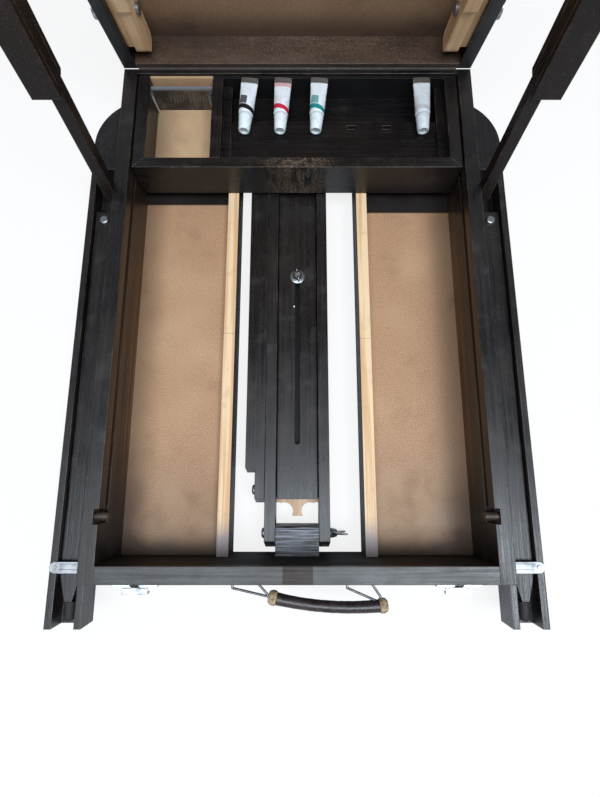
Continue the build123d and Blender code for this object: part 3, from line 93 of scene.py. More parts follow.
add_lamp(
    "overhead_lamp", OVERHEAD_PLACE, OVERHEAD_POWER, OVERHEAD_WIDE, OVERHEAD_DEEP, OVERHEAD_COLOUR
)
add_lamp("side_lamp", SIDE_PLACE, SIDE_POWER, SIDE_WIDE, SIDE_WIDE, SIDE_COLOUR)


class Socket:
    """An output in a node tree. The operators +, - and * add Math nodes to it."""

    def __init__(self, tree, output=None):
        self.tree = tree
        self.output = output

    def node(self, kind, settings=None, inputs=None, output=0):
        """Adds a node of a type: first its settings, then the values or links of its sockets."""
        added = self.tree.nodes.new(kind)
        for setting, value in (settings or {}).items():
            setattr(added, setting, value)
        for socket, value in (inputs or {}).items():
            if isinstance(value, Socket):
                self.tree.links.new(value.output, added.inputs[socket])
            else:
                added.inputs[socket].default_value = value
        return Socket(self.tree, added.outputs[output])

    def math(self, operation, first, second=0.0):
        """Adds one Math node."""
        return self.node("ShaderNodeMath", {"operation": operation}, {0: first, 1: second})

    def __add__(self, other):
        return self.math("ADD", self, other)

    def __sub__(self, other):
        return self.math("SUBTRACT", self, other)

    def __rsub__(self, other):
        return self.math("SUBTRACT", other, self)

    def __mul__(self, other):
        return self.math("MULTIPLY", self, other)

    def __abs__(self):
        return self.math("ABSOLUTE", self)

    __radd__ = __add__
    __rmul__ = __mul__


def rise(value, low, high):
    """A mask that rises smoothly from 0 to 1 as a value goes from low to high."""
    return value.node(
        "ShaderNodeMapRange",
        {"interpolation_type": "SMOOTHSTEP"},
        {"Value": value, "From Min": low, "From Max": high},
    )


def tint(mask, below, above):
    """A colour that goes from one to the other where the mask, or a share, goes from 0 to 1."""
    root = below if isinstance(below, Socket) else mask
    return root.node(
        "ShaderNodeMix", {"data_type": "RGBA"}, {0: mask, 6: below, 7: above}, output=2
    )


def rgb(red, green, blue):
    """A colour written as 0 to 255 on screen, as Blender's sockets take it."""
    return tuple(
        c / 255 / 12.92 if c < 11 else ((c / 255 + 0.055) / 1.055) ** 2.4
        for c in (red, green, blue)
    ) + (1.0,)


# What the camera sees is white; the floor also takes the object's shadow
SKY_COLOUR = (0.93, 0.96, 1.0, 1)
SKY_STRENGTH = 0.34
WHITE = (1, 1, 1, 1)
FLOOR_PALE = (0.8, 0.8, 0.8, 1)
FLOOR_HALF = 3.0
FLOOR_DROP = 0.0006
WHITE_SHARE = 0.82
world = bpy.data.worlds.new("sky")
bpy.context.scene.world = world
world.use_nodes = True
sky = Socket(world.node_tree)
sky_light = sky.node("ShaderNodeBackground", None, {"Color": SKY_COLOUR, "Strength": SKY_STRENGTH})
sky_white = sky.node("ShaderNodeBackground", None, {"Color": WHITE, "Strength": 1.0})
sky_seen = sky.node("ShaderNodeLightPath", output="Is Camera Ray")
sky_mix = sky.node("ShaderNodeMixShader", None, {0: sky_seen, 1: sky_light, 2: sky_white})
world.node_tree.links.new(sky_mix.output, world.node_tree.nodes["World Output"].inputs["Surface"])

floor_shape = bmesh.new()
bmesh.ops.create_grid(floor_shape, x_segments=1, y_segments=1, size=FLOOR_HALF)
bmesh.ops.translate(floor_shape, verts=floor_shape.verts, vec=(0, 0, -FLOOR_DROP))
floor_mesh = bpy.data.meshes.new("floor")
floor_shape.to_mesh(floor_mesh)
floor_shape.free()
floor = bpy.data.objects.new("floor", floor_mesh)
bpy.context.scene.collection.objects.link(floor)
floor_finish = bpy.data.materials.new("white_floor")
floor_finish.use_nodes = True
floor_tree = floor_finish.node_tree
floor_tree.nodes.remove(floor_tree.nodes["Principled BSDF"])
ground = Socket(floor_tree)
ground_pale = ground.node("ShaderNodeBsdfDiffuse", None, {"Color": FLOOR_PALE})
ground_white = ground.node("ShaderNodeEmission", None, {"Color": WHITE, "Strength": 1.0})
ground_seen = ground.node("ShaderNodeLightPath", output="Is Camera Ray") * WHITE_SHARE
ground_mix = ground.node(
    "ShaderNodeMixShader", None, {0: ground_seen, 1: ground_pale, 2: ground_white}
)
floor_tree.links.new(ground_mix.output, floor_tree.nodes["Material Output"].inputs["Surface"])
floor_mesh.materials.append(floor_finish)


# ---- Black-stained boards: beech, stained black and waxed, with worn corners ----
# The stain lets the grain show under a satin sheen. Corners and long edges are rubbed
# through to brown, and grey dust and fine scratches lie on the flat faces.
STAIN = rgb(20, 18, 21)
STAIN_DEEP = rgb(11, 10, 11)
STAIN_BROWN = rgb(36, 28, 24)
RUBBED = rgb(104, 86, 74)
DUST = rgb(128, 122, 116)
GRAIN_LONG = 0.11
GRAIN_WIDE = 0.0022
CLOUD_SIZE = 0.09
SMUDGE_SIZE = 0.022
MOTE_SIZE = 0.0012
GRAIN_DEEP = 0.0005
EDGE_ROUND = 0.0011
EDGE_SAMPLES = 6
EDGE_FAINT = 0.015
EDGE_FULL = 0.16
ALONG_X, ALONG_Y = 0, 1
# The grain of the lid's boards is turned with the lid, which stands open by its whole swing
lid_hinge = next(joint for joint in frame["joints"] if joint["name"] == "lid_hinge")
LID_TURN = (-math.radians(lid_hinge["range_deg"][1]), 0, 0)


def new_finish(name, specular=0.5):
    """A material with one Principled shader, and the socket that its nodes grow from."""
    finish = bpy.data.materials.new(name)
    finish.use_nodes = True
    shader = finish.node_tree.nodes["Principled BSDF"]
    shader.inputs["Specular IOR Level"].default_value = specular
    return finish, Socket(finish.node_tree), shader


def feed(shader, **values):
    """Sets or links the shader's sockets, named with _ for each space."""
    for name, value in values.items():
        socket = shader.inputs[name.replace("_", " ")]
        if isinstance(value, Socket):
            value.tree.links.new(value.output, socket)
        else:
            socket.default_value = value


def cells(surface, size, turn=(0, 0, 0), place=(0, 0, 0)):
    """Object coordinates measured in cells: of one size, or of three along turned axes."""
    return surface.node(
        "ShaderNodeMapping",
        {"vector_type": "TEXTURE"},
        {
            "Vector": surface.node("ShaderNodeTexCoord", output="Object"),
            "Location": place,
            "Rotation": turn,
            "Scale": size if isinstance(size, tuple) else (size,) * 3,
        },
    )


def speckle(surface, size, turn=(0, 0, 0), place=(0, 0, 0), detail=3.0, rough=0.5):
    """Noise of about one wave to a cell."""
    coords = cells(surface, size, turn, place)
    return surface.node(
        "ShaderNodeTexNoise",
        None,
        {"Vector": coords, "Scale": 1.0, "Detail": detail, "Roughness": rough},
    )


def grain_size(along, long=GRAIN_LONG, wide=GRAIN_WIDE):
    """A cell drawn out along one axis: 0 for X, 1 for Y."""
    return tuple(long if axis == along else wide for axis in range(3))


def worn_edge(surface, radius):
    """Rounds the sharp edges of a piece, and gives a mask of where they are."""
    rounded = surface.node("ShaderNodeBevel", {"samples": EDGE_SAMPLES}, {"Radius": radius})
    flat = surface.node("ShaderNodeNewGeometry", output="Normal")
    facing = surface.node(
        "ShaderNodeVectorMath", {"operation": "DOT_PRODUCT"}, {0: rounded, 1: flat}, output="Value"
    )
    return rounded, rise(1 - facing, EDGE_FAINT, EDGE_FULL)


def raised(surface, height, strength, deep, normal=None):
    """A normal that follows a height, over the piece's own normal or another one."""
    inputs = {"Strength": strength, "Distance": deep, "Height": height}
    if normal is not None:
        inputs["Normal"] = normal
    return surface.node("ShaderNodeBump", None, inputs)


def black_stain(
    name, along, turn=(0, 0, 0), seed=0.0, wear=1.0, grain=1.0, dust=0.5, sheen=0.5, warm=0.0
):
    """Black stain over wood whose grain runs along one axis. Warm adds a brown cast."""
    finish, surface, shader = new_finish(name, specular=sheen)
    fibres = speckle(surface, grain_size(along), turn, detail=4.0, rough=0.65)
    pore_size = grain_size(along, GRAIN_LONG / 7, GRAIN_WIDE / 3)
    pores = speckle(surface, pore_size, turn, detail=2.0)
    clouds = speckle(surface, CLOUD_SIZE, place=(seed, seed, 0), detail=4.0)
    smudge = speckle(surface, SMUDGE_SIZE, place=(0, seed, seed), detail=5.0, rough=0.6)
    motes = speckle(surface, MOTE_SIZE, detail=1.0)
    rounded, edge = worn_edge(surface, EDGE_ROUND)

    colour = tint(rise(fibres, 0.36, 0.66), STAIN_DEEP, STAIN)
    colour = tint(rise(clouds, 0.42, 0.72) * 0.55 + warm, colour, STAIN_BROWN)
    dusty = rise(smudge, 0.5, 0.8) * dust * 0.14 + rise(motes, 0.66, 0.74) * dust * 0.35
    colour = tint(dusty, colour, DUST)
    rubbed = edge * rise(smudge + fibres * 0.4, 0.55, 0.85) * wear
    matt = rise(clouds, 0.3, 0.7) + rise(smudge, 0.45, 0.8) + rise(fibres, 0.38, 0.64)
    feed(
        shader,
        Base_Color=tint(rubbed, colour, RUBBED),
        Roughness=0.22 + matt * 0.12,
        Normal=raised(surface, fibres * 0.6 + pores * 0.4, 0.45 * grain, GRAIN_DEEP, rounded),
    )
    return finish


def dress(node, finish):
    """Gives a CAD node its finish."""
    data = nodes[node].data
    data.materials.clear()
    data.materials.append(finish)


for node, along in (
    ("side_board_left", ALONG_Y),
    ("side_board_right", ALONG_Y),
    ("front_rail", ALONG_X),
    ("rear_board", ALONG_X),
    ("tray_front", ALONG_X),
    ("tray_walls", ALONG_Y),
    ("leg_channel_left", ALONG_Y),
    ("leg_channel_right", ALONG_Y),
    ("leg_inner_left", ALONG_Y),
    ("leg_inner_right", ALONG_Y),
    ("centre_leg_walls", ALONG_Y),
    ("centre_leg_plank", ALONG_Y),
    ("brace_bars", ALONG_Y),
):
    dress(node, black_stain(f"black_stain_{node}", along, seed=0.17 * len(node)))
for node, along in (
    ("lid_side_left", ALONG_Y),
    ("lid_side_right", ALONG_Y),
    ("lid_rails", ALONG_X),
):
    dress(node, black_stain(f"black_stain_{node}", along, LID_TURN, seed=0.13 * len(node)))


# ---- Tube rack: a stained board that fills the tray's right bay ----
# Its ledge is notched for the tubes' caps, with a deeper recess behind. It lies deep between
# the tray's walls, so it is duller than the other boards.
dress("tube_rack", black_stain("black_stain_rack", ALONG_X, seed=0.6, sheen=0.3, dust=0.25))


# ---- Lid stays: on each side a rod pivoted on the box and a grooved bar that slides along it ----
# Both are stained like the box, and sliding has left them matt and brown.
for part in ("stay_rod", "stay_bar"):
    finish = black_stain(f"brown_stain_{part}", ALONG_Y, LID_TURN, sheen=0.14, warm=0.6)
    for label in ("left", "right"):
        dress(f"{part}_{label}", finish)


# ---- Centre leg's block: fixed behind the front rail, it carries the leg's pivot ----
# It is cut with its grain across the box. Its wood is open-grained and greyed in streaks, and their blue-grey is
# partly a painted sheen.
GREYED_AND_SHEEN = rgb(140, 144, 158)
BLOCK_STREAK = grain_size(ALONG_X, 0.035, 0.0011)


def fed(finish, name):
    """What feeds one socket of a finish's shader."""
    shader = finish.node_tree.nodes["Principled BSDF"]
    return Socket(finish.node_tree, shader.inputs[name].links[0].from_socket)


def reopened(finish):
    """A finish's node tree, its shader and its colour, for a piece that adds to them."""
    shader = finish.node_tree.nodes["Principled BSDF"]
    return Socket(finish.node_tree), shader, fed(finish, "Base Color")


finish = black_stain("black_stain_block", ALONG_X, grain=2.6, dust=1.6, wear=1.6)
surface, shader, colour = reopened(finish)
streaks = speckle(surface, BLOCK_STREAK, detail=4.0)
feed(shader, Base_Color=tint(rise(streaks, 0.42, 0.62) * 0.75, colour, GREYED_AND_SHEEN))
dress("centre_leg_block", finish)


# ---- Front rail: handling has rubbed the middle of its top, and painted shade blackens its inner face ----
# The hand reaches for the handle there, so the stain is worn in streaks across the top.
BARE_PATCH = rgb(54, 43, 37)
PATCH_LEFT = -0.0125
PATCH_RIGHT = 0.0145
PATCH_SOFT = 0.0008
PATCH_STREAK = grain_size(ALONG_X, 0.02, 0.0016)
TOP_SKIN = 0.0006
INNER_SKIN = 0.0008
SKIN_SOFT = 0.0004
SHADE_BELOW = 0.006
RUBBED_ABOVE = 0.0025


def along_axes(surface, coords=None):
    """The three numbers of a vector, or of the place on the object in metres."""
    if coords is None:
        coords = surface.node("ShaderNodeTexCoord", output="Object")
    return [
        surface.node("ShaderNodeSeparateXYZ", None, {0: coords}, output=axis) for axis in range(3)
    ]


def between(value, low, high, soft):
    """A mask that is 1 between two values and fades over a soft edge outside them."""
    return rise(value, low - soft, low) * (1 - rise(value, high, high + soft))


rail_inner, rail_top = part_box("front_rail")[1].yz
finish = nodes["front_rail"].data.materials[0]
surface, shader, colour = reopened(finish)
across, along, up = along_axes(surface)
patch = between(across, PATCH_LEFT, PATCH_RIGHT, PATCH_SOFT)
patch = patch * rise(up, rail_top - TOP_SKIN, rail_top - TOP_SKIN + SKIN_SOFT)
streaks = speckle(surface, PATCH_STREAK, detail=4.0)
patchy = patch * (0.45 + rise(streaks, 0.35, 0.6) * 0.5)
# Painted shade: the inner face is painted deep black below its top, and made rougher
inner_shade = rise(along, rail_inner - INNER_SKIN, rail_inner - INNER_SKIN + SKIN_SOFT)
inner_shade = inner_shade * (1 - rise(up, rail_top - SHADE_BELOW, rail_top - RUBBED_ABOVE))
feed(
    shader,
    Base_Color=tint(inner_shade, tint(patchy, colour, BARE_PATCH), STAIN_DEEP),
    Roughness=fed(finish, "Roughness") + patch * 0.3 + inner_shade * 0.4,
)


# ---- Tray's front board: paint has run down its middle and crusted there ----
# Brushes were wiped on it, so the crust is thick by the middle and thins to both sides.
CRUST = rgb(138, 120, 98)
CRUST_DARK = rgb(52, 43, 38)
CRUST_HALF = 0.008
CRUST_FADE = 0.045
LUMP_SIZE = 0.0016
LUMP_PLACE = (0.4, 0, 0)
DRIP_SIZE = (0.006, 0.006, 0.018)
DRIP_PLACE = (0.2, 0, 0)
surface, shader, colour = reopened(nodes["tray_front"].data.materials[0])
across, along, up = along_axes(surface)
lumps = speckle(surface, LUMP_SIZE, place=LUMP_PLACE, detail=4.0, rough=0.7)
drips = speckle(surface, DRIP_SIZE, place=DRIP_PLACE, detail=4.0)
near = between(across, -CRUST_HALF, CRUST_HALF, CRUST_FADE)
crusty = near * rise(lumps, 0.5, 0.6) * rise(drips, 0.3, 0.55)
colour = tint(near * rise(drips, 0.4, 0.7) * 0.6, colour, CRUST_DARK)
feed(shader, Base_Color=tint(crusty * 0.85, colour, CRUST))


# ---- Centre leg's plank: a drop of white paint has dried on it ----
# It fell just ahead of the wing nut, beside the slot that the nut's bolt runs in.
WHITE_DROP = rgb(225, 222, 214)
DROP_X = -0.0036
DROP_Y = 0.0135
DROP_RADIUS = 0.0011
DROP_INNER = DROP_RADIUS * 0.8
DROP_OUTER = DROP_RADIUS * 1.2
surface, shader, colour = reopened(nodes["centre_leg_plank"].data.materials[0])
across, along, up = along_axes(surface)
off_x, off_y = across - DROP_X, along - DROP_Y
off_drop = off_x * off_x + off_y * off_y
drop = 1 - rise(off_drop, DROP_INNER**2, DROP_OUTER**2)
feed(shader, Base_Color=tint(drop, colour, WHITE_DROP))


# ---- Lid's lower rail: its stain is mottled and rubbed to brown over the tubes ----
# The upper rail shares its node and stays black. The lower one's pale spots are strongest right of its middle,
# where they are a painted sheen.
MOTTLE = rgb(80, 62, 50)
MOTTLE_PALE_AND_SHEEN = rgb(168, 136, 102)
MOTTLE_SIZE = (0.05, 0.02, 0.02)
MOTTLE_PLACE = (0.1, 0, 0)
SPOTS_PLACE = (0, 0.3, 0)
LIT_RIGHT = 0.11
LIT_FADE = 0.09
# Heights above the lower rail's foot
LIT_FROM = 0.004
LIT_TO = 0.02
LOWER_FROM = 0.04
LOWER_TO = 0.06
rail_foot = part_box("lid_rails")[0].z
surface, shader, colour = reopened(nodes["lid_rails"].data.materials[0])
across, along, up = along_axes(surface)
patches = speckle(surface, MOTTLE_SIZE, place=MOTTLE_PLACE, detail=5.0, rough=0.6)
spots = speckle(surface, MOTE_SIZE, place=SPOTS_PLACE, detail=2.0)
# Painted sheen right of the middle and above the foot, which strengthens the pale spots
painted_sheen = between(across, 0.0, LIT_RIGHT, LIT_FADE)
painted_sheen = painted_sheen * rise(up, rail_foot + LIT_FROM, rail_foot + LIT_TO)
lower = 1 - rise(up, rail_foot + LOWER_FROM, rail_foot + LOWER_TO)
mottled = tint(0.5 + rise(patches, 0.36, 0.7) * 0.4, colour, MOTTLE)
mottled = tint(rise(spots, 0.56, 0.7) * (0.25 + painted_sheen * 0.5), mottled, MOTTLE_PALE_AND_SHEEN)
feed(shader, Base_Color=tint(lower, colour, mottled))


# ---- Hardboard: tempered sheet that floors the compartments and the tray and backs the lid ----
# Pressed brown fibre with a smooth face. Paint dust and grime lie on it in blotches, painted shade darkens it
# towards the walls, and pale scratches cross it where tubes and knives were dragged.
BOARD_BROWN = rgb(190, 151, 115)
BOARD_SPECK = rgb(148, 112, 86)
BOARD_PALE = rgb(206, 175, 138)
# One colour serves both the blotched grime and the painted shade by the walls
GRIME_AND_SHADE = rgb(80, 62, 50)
WALL_SHADE_REACH = 0.036
WALL_SHADE_WAVER = 0.02
FIBRE_SIZE = 0.0011
BLOTCH_SIZE = 0.035
HAZE_SIZE = 0.12
DRAG_SIZE = (0.034, 0.0007, 0.02)
DRAG_TURN = (0, 0, 0.5)
CROSS_DRAG_SIZE = (0.0008, 0.05, 0.02)
CROSS_DRAG_TURN = (0, 0, 0.12)
BOARD_ROUND = 0.0006
BOARD_DEEP = 0.0004


def hardboard(name, turn=(0, 0, 0), seed=0.0, walls=(), shade=0.0, pale=0.0):
    """Hardboard, with blotched grime and painted shade that thickens towards walls: (axis, place, inward sign,
    reach).
    """
    finish, surface, shader = new_finish(name, specular=0.4)
    fibre = speckle(surface, FIBRE_SIZE, turn, rough=0.7)
    blotch = speckle(surface, BLOTCH_SIZE, turn, (seed, seed, 0), detail=5.0)
    haze = speckle(surface, HAZE_SIZE, turn, (seed, 0, seed), detail=2.0)
    drag = speckle(surface, DRAG_SIZE, DRAG_TURN, detail=2.0)
    cross_drag = speckle(surface, CROSS_DRAG_SIZE, CROSS_DRAG_TURN, detail=2.0)
    axes = along_axes(surface)

    colour = tint(rise(fibre, 0.36, 0.66), BOARD_SPECK, BOARD_BROWN)
    colour = tint(rise(haze, 0.4, 0.7) * 0.3 + pale, colour, BOARD_PALE)
    lines = rise(drag, 0.69, 0.73) + rise(cross_drag, 0.72, 0.76)
    colour = tint(lines * rise(blotch, 0.45, 0.6) * 0.45, colour, BOARD_PALE)
    grime_and_shade = rise(blotch, 0.5, 0.85) * 0.3 + shade
    # Painted shade: darker towards each wall
    for axis, wall, inward, reach in walls:
        off_wall = (axes[axis] - wall) * inward + (blotch - 0.5) * WALL_SHADE_WAVER
        grime_and_shade = grime_and_shade + (1 - rise(off_wall, 0.0, reach)) * 0.5
    rounded, edge = worn_edge(surface, BOARD_ROUND)
    feed(
        shader,
        Base_Color=tint(grime_and_shade, colour, GRIME_AND_SHADE),
        Roughness=0.5 + rise(blotch, 0.3, 0.7) * 0.16,
        Normal=raised(surface, fibre + lines * 0.5, 0.12, BOARD_DEEP, rounded),
    )
    return finish


# The compartment floors are painted black under the tray as a painted shadow, a little further forward on the
# right
UNDER_TRAY_SHADOW = rgb(20, 13, 9)
UNDER_TRAY_LEFT = 0.1463
UNDER_TRAY_RIGHT = 0.1355
UNDER_TRAY_SOFT = 0.001
TRAY_FRONT_SHADE_OFFSET = 0.02
MIDDLE_SOFT = 0.01


def right_half(across):
    """A mask of the box's right half, soft across the bay in the middle."""
    return rise(across, -MIDDLE_SOFT, MIDDLE_SOFT)


floor_low, floor_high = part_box("compartment_floors")
tray_front_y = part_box("tray_front")[0].y
# Painted shade darkens the floors towards their side walls, their front and the tray's front
finish = hardboard(
    "hardboard_floors",
    seed=0.31,
    walls=(
        (0, floor_low.x, 1, WALL_SHADE_REACH),
        (0, floor_high.x, -1, WALL_SHADE_REACH * 1.5),
        (1, floor_low.y, 1, WALL_SHADE_REACH * 0.6),
        (1, floor_low.y, 1, WALL_SHADE_REACH * 4),
        (1, tray_front_y + TRAY_FRONT_SHADE_OFFSET, -1, WALL_SHADE_REACH),
    ),
)
surface, shader, colour = reopened(finish)
across, along, up = along_axes(surface)
edge = UNDER_TRAY_LEFT + right_half(across) * (UNDER_TRAY_RIGHT - UNDER_TRAY_LEFT)
painted_tray_shadow = rise(along - edge, -UNDER_TRAY_SOFT, UNDER_TRAY_SOFT)
feed(shader, Base_Color=tint(painted_tray_shadow, colour, UNDER_TRAY_SHADOW))
dress("compartment_floors", finish)

tray_low, tray_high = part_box("tray_floor")
# Painted shade darkens the tray's floor along its left wall
tray_wall_shade = ((0, tray_low.x, 1, WALL_SHADE_REACH),)
dress("tray_floor", hardboard("hardboard_tray", seed=0.12, walls=tray_wall_shade, pale=0.6))

# The tray's rear wall is bare board behind the tin and stained black behind the tubes
STAIN_LINE_SOFT = 0.001
finish = hardboard("hardboard_tray_rear", seed=0.4, pale=0.3)
surface, shader, colour = reopened(finish)
across, along, up = along_axes(surface)
stained = rise(across, tray_high.x - STAIN_LINE_SOFT, tray_high.x + STAIN_LINE_SOFT)
feed(shader, Base_Color=tint(stained, colour, STAIN_DEEP))
dress("tray_rear", finish)

# The lid's panel is darkened by age, with painted shade along its foot
PANEL_FOOT = 0.004
lid_foot_shade = ((2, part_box("lid_panel")[0].z + PANEL_FOOT, 1, WALL_SHADE_REACH),)
dress("lid_panel", hardboard("hardboard_lid", LID_TURN, seed=0.7, walls=lid_foot_shade, shade=0.44))


# ---- Pale pine: dividers beside the bay, the lid's holders and the centre leg's base ----
# Unstained softwood with straight grain, planed and left bare. Fingers have dirtied it, and
# its corners are rounded and grubby.
PINE = rgb(230, 200, 162)
PINE_LINE = rgb(206, 166, 124)
PINE_DIRT = rgb(120, 92, 70)
PINE_RING = grain_size(ALONG_Y, 0.22, 0.0045)
PINE_FIBRE = grain_size(ALONG_Y, 0.02, 0.0007)
PINE_MARK = 0.016
PINE_ROUND = 0.0009
PINE_DEEP = 0.0004


def pine(name, turn=(0, 0, 0), seed=0.0, worn=1.0):
    """Straight-grained pale wood, and the parts of its material that a piece may add to."""
    finish, surface, shader = new_finish(name, specular=0.35)
    rings = speckle(surface, PINE_RING, turn, (seed, seed, 0))
    fibres = speckle(surface, PINE_FIBRE, turn)
    marks = speckle(surface, PINE_MARK, turn, (0, seed, seed), detail=5.0)
    rounded, edge = worn_edge(surface, PINE_ROUND)
    colour = tint(rise(rings, 0.42, 0.64), PINE, PINE_LINE)
    colour = tint(rise(fibres, 0.52, 0.8) * 0.35, colour, PINE_LINE)
    colour = tint(rise(marks, 0.56, 0.82) * 0.35 * worn + edge * 0.25, colour, PINE_DIRT)
    relief = raised(surface, fibres + rings * 0.4, 0.2, PINE_DEEP, rounded)
    feed(shader, Base_Color=colour, Roughness=0.48 + fibres * 0.14, Normal=relief)
    return finish, surface, shader, colour


# The dividers are stained black where they face the bay, each is butted from two lengths,
# and their front ends are greyed by handling
PINE_GREY = rgb(118, 116, 126)
DIVIDER_WALL = 0.013
BUTT_LEFT = -0.024
BUTT_RIGHT = -0.030
BUTT_WIDE = 0.0005
GREY_FROM = 0.012
GREY_TO = 0.045
BAY_SKIN_FROM = 0.0003
BAY_SKIN_TO = 0.0009
divider_low, divider_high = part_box("bay_dividers")
bay_face = divider_high.x - DIVIDER_WALL
finish, surface, shader, colour = pine("pine_dividers", seed=0.2)
across, along, up = along_axes(surface)
butt = BUTT_LEFT + right_half(across) * (BUTT_RIGHT - BUTT_LEFT)
joint = 1 - rise(abs(along - butt), 0.0, BUTT_WIDE)
front_end = 1 - rise(along, divider_low.y + GREY_FROM, divider_low.y + GREY_TO)
towards_bay = 1 - rise(abs(across), bay_face + BAY_SKIN_FROM, bay_face + BAY_SKIN_TO)
colour = tint(joint * 0.7, colour, PINE_DIRT)
colour = tint(front_end * 0.85, colour, PINE_GREY)
feed(shader, Base_Color=tint(towards_bay, colour, STAIN))
dress("bay_dividers", finish)

# Only the front end of the centre leg's base is left bare, and it has aged
PINE_AGED = rgb(150, 126, 108)
AGED_SHARE = 0.45
BARE_BASE_END = -0.2052
BARE_BASE_SOFT = 0.0006
finish, surface, shader, colour = pine("pine_leg_base", seed=0.5, worn=1.6)
across, along, up = along_axes(surface)
stained = rise(along, BARE_BASE_END, BARE_BASE_END + BARE_BASE_SOFT)
feed(shader, Base_Color=tint(stained, tint(AGED_SHARE, colour, PINE_AGED), STAIN_DEEP))
dress("centre_leg_base", finish)

# The holders have mellowed to a warmer brown, and painted shade under the lid darkens them further
PINE_MELLOW_AND_SHADE = rgb(160, 116, 70)
MELLOW_SIZE = 0.05
for node in ("holder_bases", "holder_strip_left", "holder_strip_right"):
    finish, surface, shader, colour = pine(f"pine_{node}", LID_TURN, seed=0.07 * len(node))
    mellow_and_shade = rise(speckle(surface, MELLOW_SIZE, detail=2.0), 0.3, 0.7)
    feed(shader, Base_Color=tint(0.2 + mellow_and_shade * 0.3, colour, PINE_MELLOW_AND_SHADE))
    dress(node, finish)


# ---- Side boards: stained black outside, thinly stained inside ----
# The black stain was laid on from outside, so the inner faces below the tray's groove
# show golden brown, streaked along the board and black again near the front corner.
THIN_STAIN = rgb(76, 54, 38)
THIN_STREAK = rgb(34, 25, 21)
THIN_GOLD = rgb(122, 88, 52)
THIN_STREAK_SIZE = grain_size(ALONG_Y, 0.2, 0.006)
GROOVED_SKIN = 0.0056
RIM_FROM = 0.006
RIM_TO = 0.001
CORNER_FROM = 0.03
CORNER_TO = 0.16
TRAY_SHADE_FROM = 0.03
TRAY_SHADE_TO = 0.2
GOLD_FROM = 0.016
GOLD_TO = 0.032
GOLD_SOFT = 0.014
for node, inward in (("side_board_left", 1), ("side_board_right", -1)):
    low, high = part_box(node)
    inner_face = high.x if inward > 0 else low.x
    surface, shader, outer_colour = reopened(nodes[node].data.materials[0])
    across, along, up = along_axes(surface)
    streaks = speckle(surface, THIN_STREAK_SIZE, detail=4.0)
    inside = rise((across - inner_face) * inward, -GROOVED_SKIN, SKIN_SOFT - GROOVED_SKIN)
    below_top = 1 - rise(up, high.z - RIM_FROM, high.z - RIM_TO)
    behind_corner = rise(along, low.y + CORNER_FROM, low.y + CORNER_TO)
    # Towards the tray the inner faces go back to the outer black: painted shadow under the tray
    ahead_of_tray = 1 - rise(along, TRAY_SHADE_FROM, TRAY_SHADE_TO)
    streaky = tint(rise(streaks, 0.4, 0.68), THIN_STAIN, THIN_STREAK)
    golden = between(up, GOLD_FROM, GOLD_TO, GOLD_SOFT) * rise(streaks, 0.3, 0.6) * 0.75
    bare = inside * below_top * behind_corner * ahead_of_tray
    bare = bare * (0.55 + rise(streaks, 0.3, 0.7) * 0.4)
    inner_colour = tint(golden, streaky, THIN_GOLD)
    feed(shader, Base_Color=tint(bare, outer_colour, inner_colour))


# ---- Stop pegs of the tray: dowels set in the side boards ----
# Turned from dark wood, with streaks along the grain and a dull finish.
PEG_WOOD = rgb(56, 45, 38)
PEG_STREAK_SIZE = (0.002, 0.004, 0.004)
finish, surface, shader = new_finish("peg_wood")
streaks = rise(speckle(surface, PEG_STREAK_SIZE), 0.35, 0.65)
feed(shader, Base_Color=tint(streaks, PEG_WOOD, THIN_STREAK), Roughness=0.5)
dress("tray_stop_pegs", finish)


# ---- Steel hardware: zinc-plated bolts, nuts, straps, staples and latches ----
# Bright plating over a fine rolled grain, dulled by fingers, with grey bloom and tarnish.
ZINC = rgb(164, 168, 172)
ZINC_DULL = rgb(114, 117, 120)
TARNISH = rgb(92, 82, 68)
ROLLED_SIZE = (0.02, 0.0005, 0.0005)
BLOOM_SIZE = 0.009
SPOT_SIZE = 0.0011
PLATE_ROUND = 0.0004
PLATE_DEEP = 0.0002


def zinc(
    name, dirt=0.12, rough=0.26, radius=PLATE_ROUND, bright=ZINC, dull=ZINC_DULL, metal=0.95
):
    """Plated steel, bright or dull, with more or less dirt and its corners rounded."""
    finish, surface, shader = new_finish(name)
    rolled = speckle(surface, ROLLED_SIZE, detail=2.0)
    bloom = speckle(surface, BLOOM_SIZE)
    spots = speckle(surface, SPOT_SIZE, detail=1.0)
    rounded, edge = worn_edge(surface, radius)
    colour = tint(rise(bloom, 0.4, 0.7) * 0.6, bright, dull)
    dirty = rise(bloom, 0.55, 0.8) * dirt + rise(spots, 0.68, 0.76) * dirt * 0.6
    feed(
        shader,
        Base_Color=tint(dirty, colour, TARNISH),
        Metallic=metal - rise(bloom, 0.5, 0.8) * 0.2,
        Roughness=rough + rise(bloom, 0.35, 0.75) * 0.12 + rolled * 0.08,
        Normal=raised(surface, rolled, 0.08, PLATE_DEEP, rounded),
    )
    return finish


plated = zinc("zinc_plate")
for row in frame["record"]["subparts"]:
    if row["material_slot"] == "steel":
        dress(row["node"], plated)
dull_plate = zinc("zinc_plate_dull", dirt=0.4, rough=0.36)
for node in ("centre_pivot_bolt", "centre_leg_bolts"):
    dress(node, dull_plate)

# The leg straps are scuffed to a paler, rougher grey
STRAP_GREY = rgb(174, 178, 181)
STRAP_DARK = rgb(118, 122, 125)
strap_plate = zinc("zinc_strap", rough=0.42, bright=STRAP_GREY, dull=STRAP_DARK)
for label in ("left", "right"):
    dress(f"leg_strap_{label}", strap_plate)

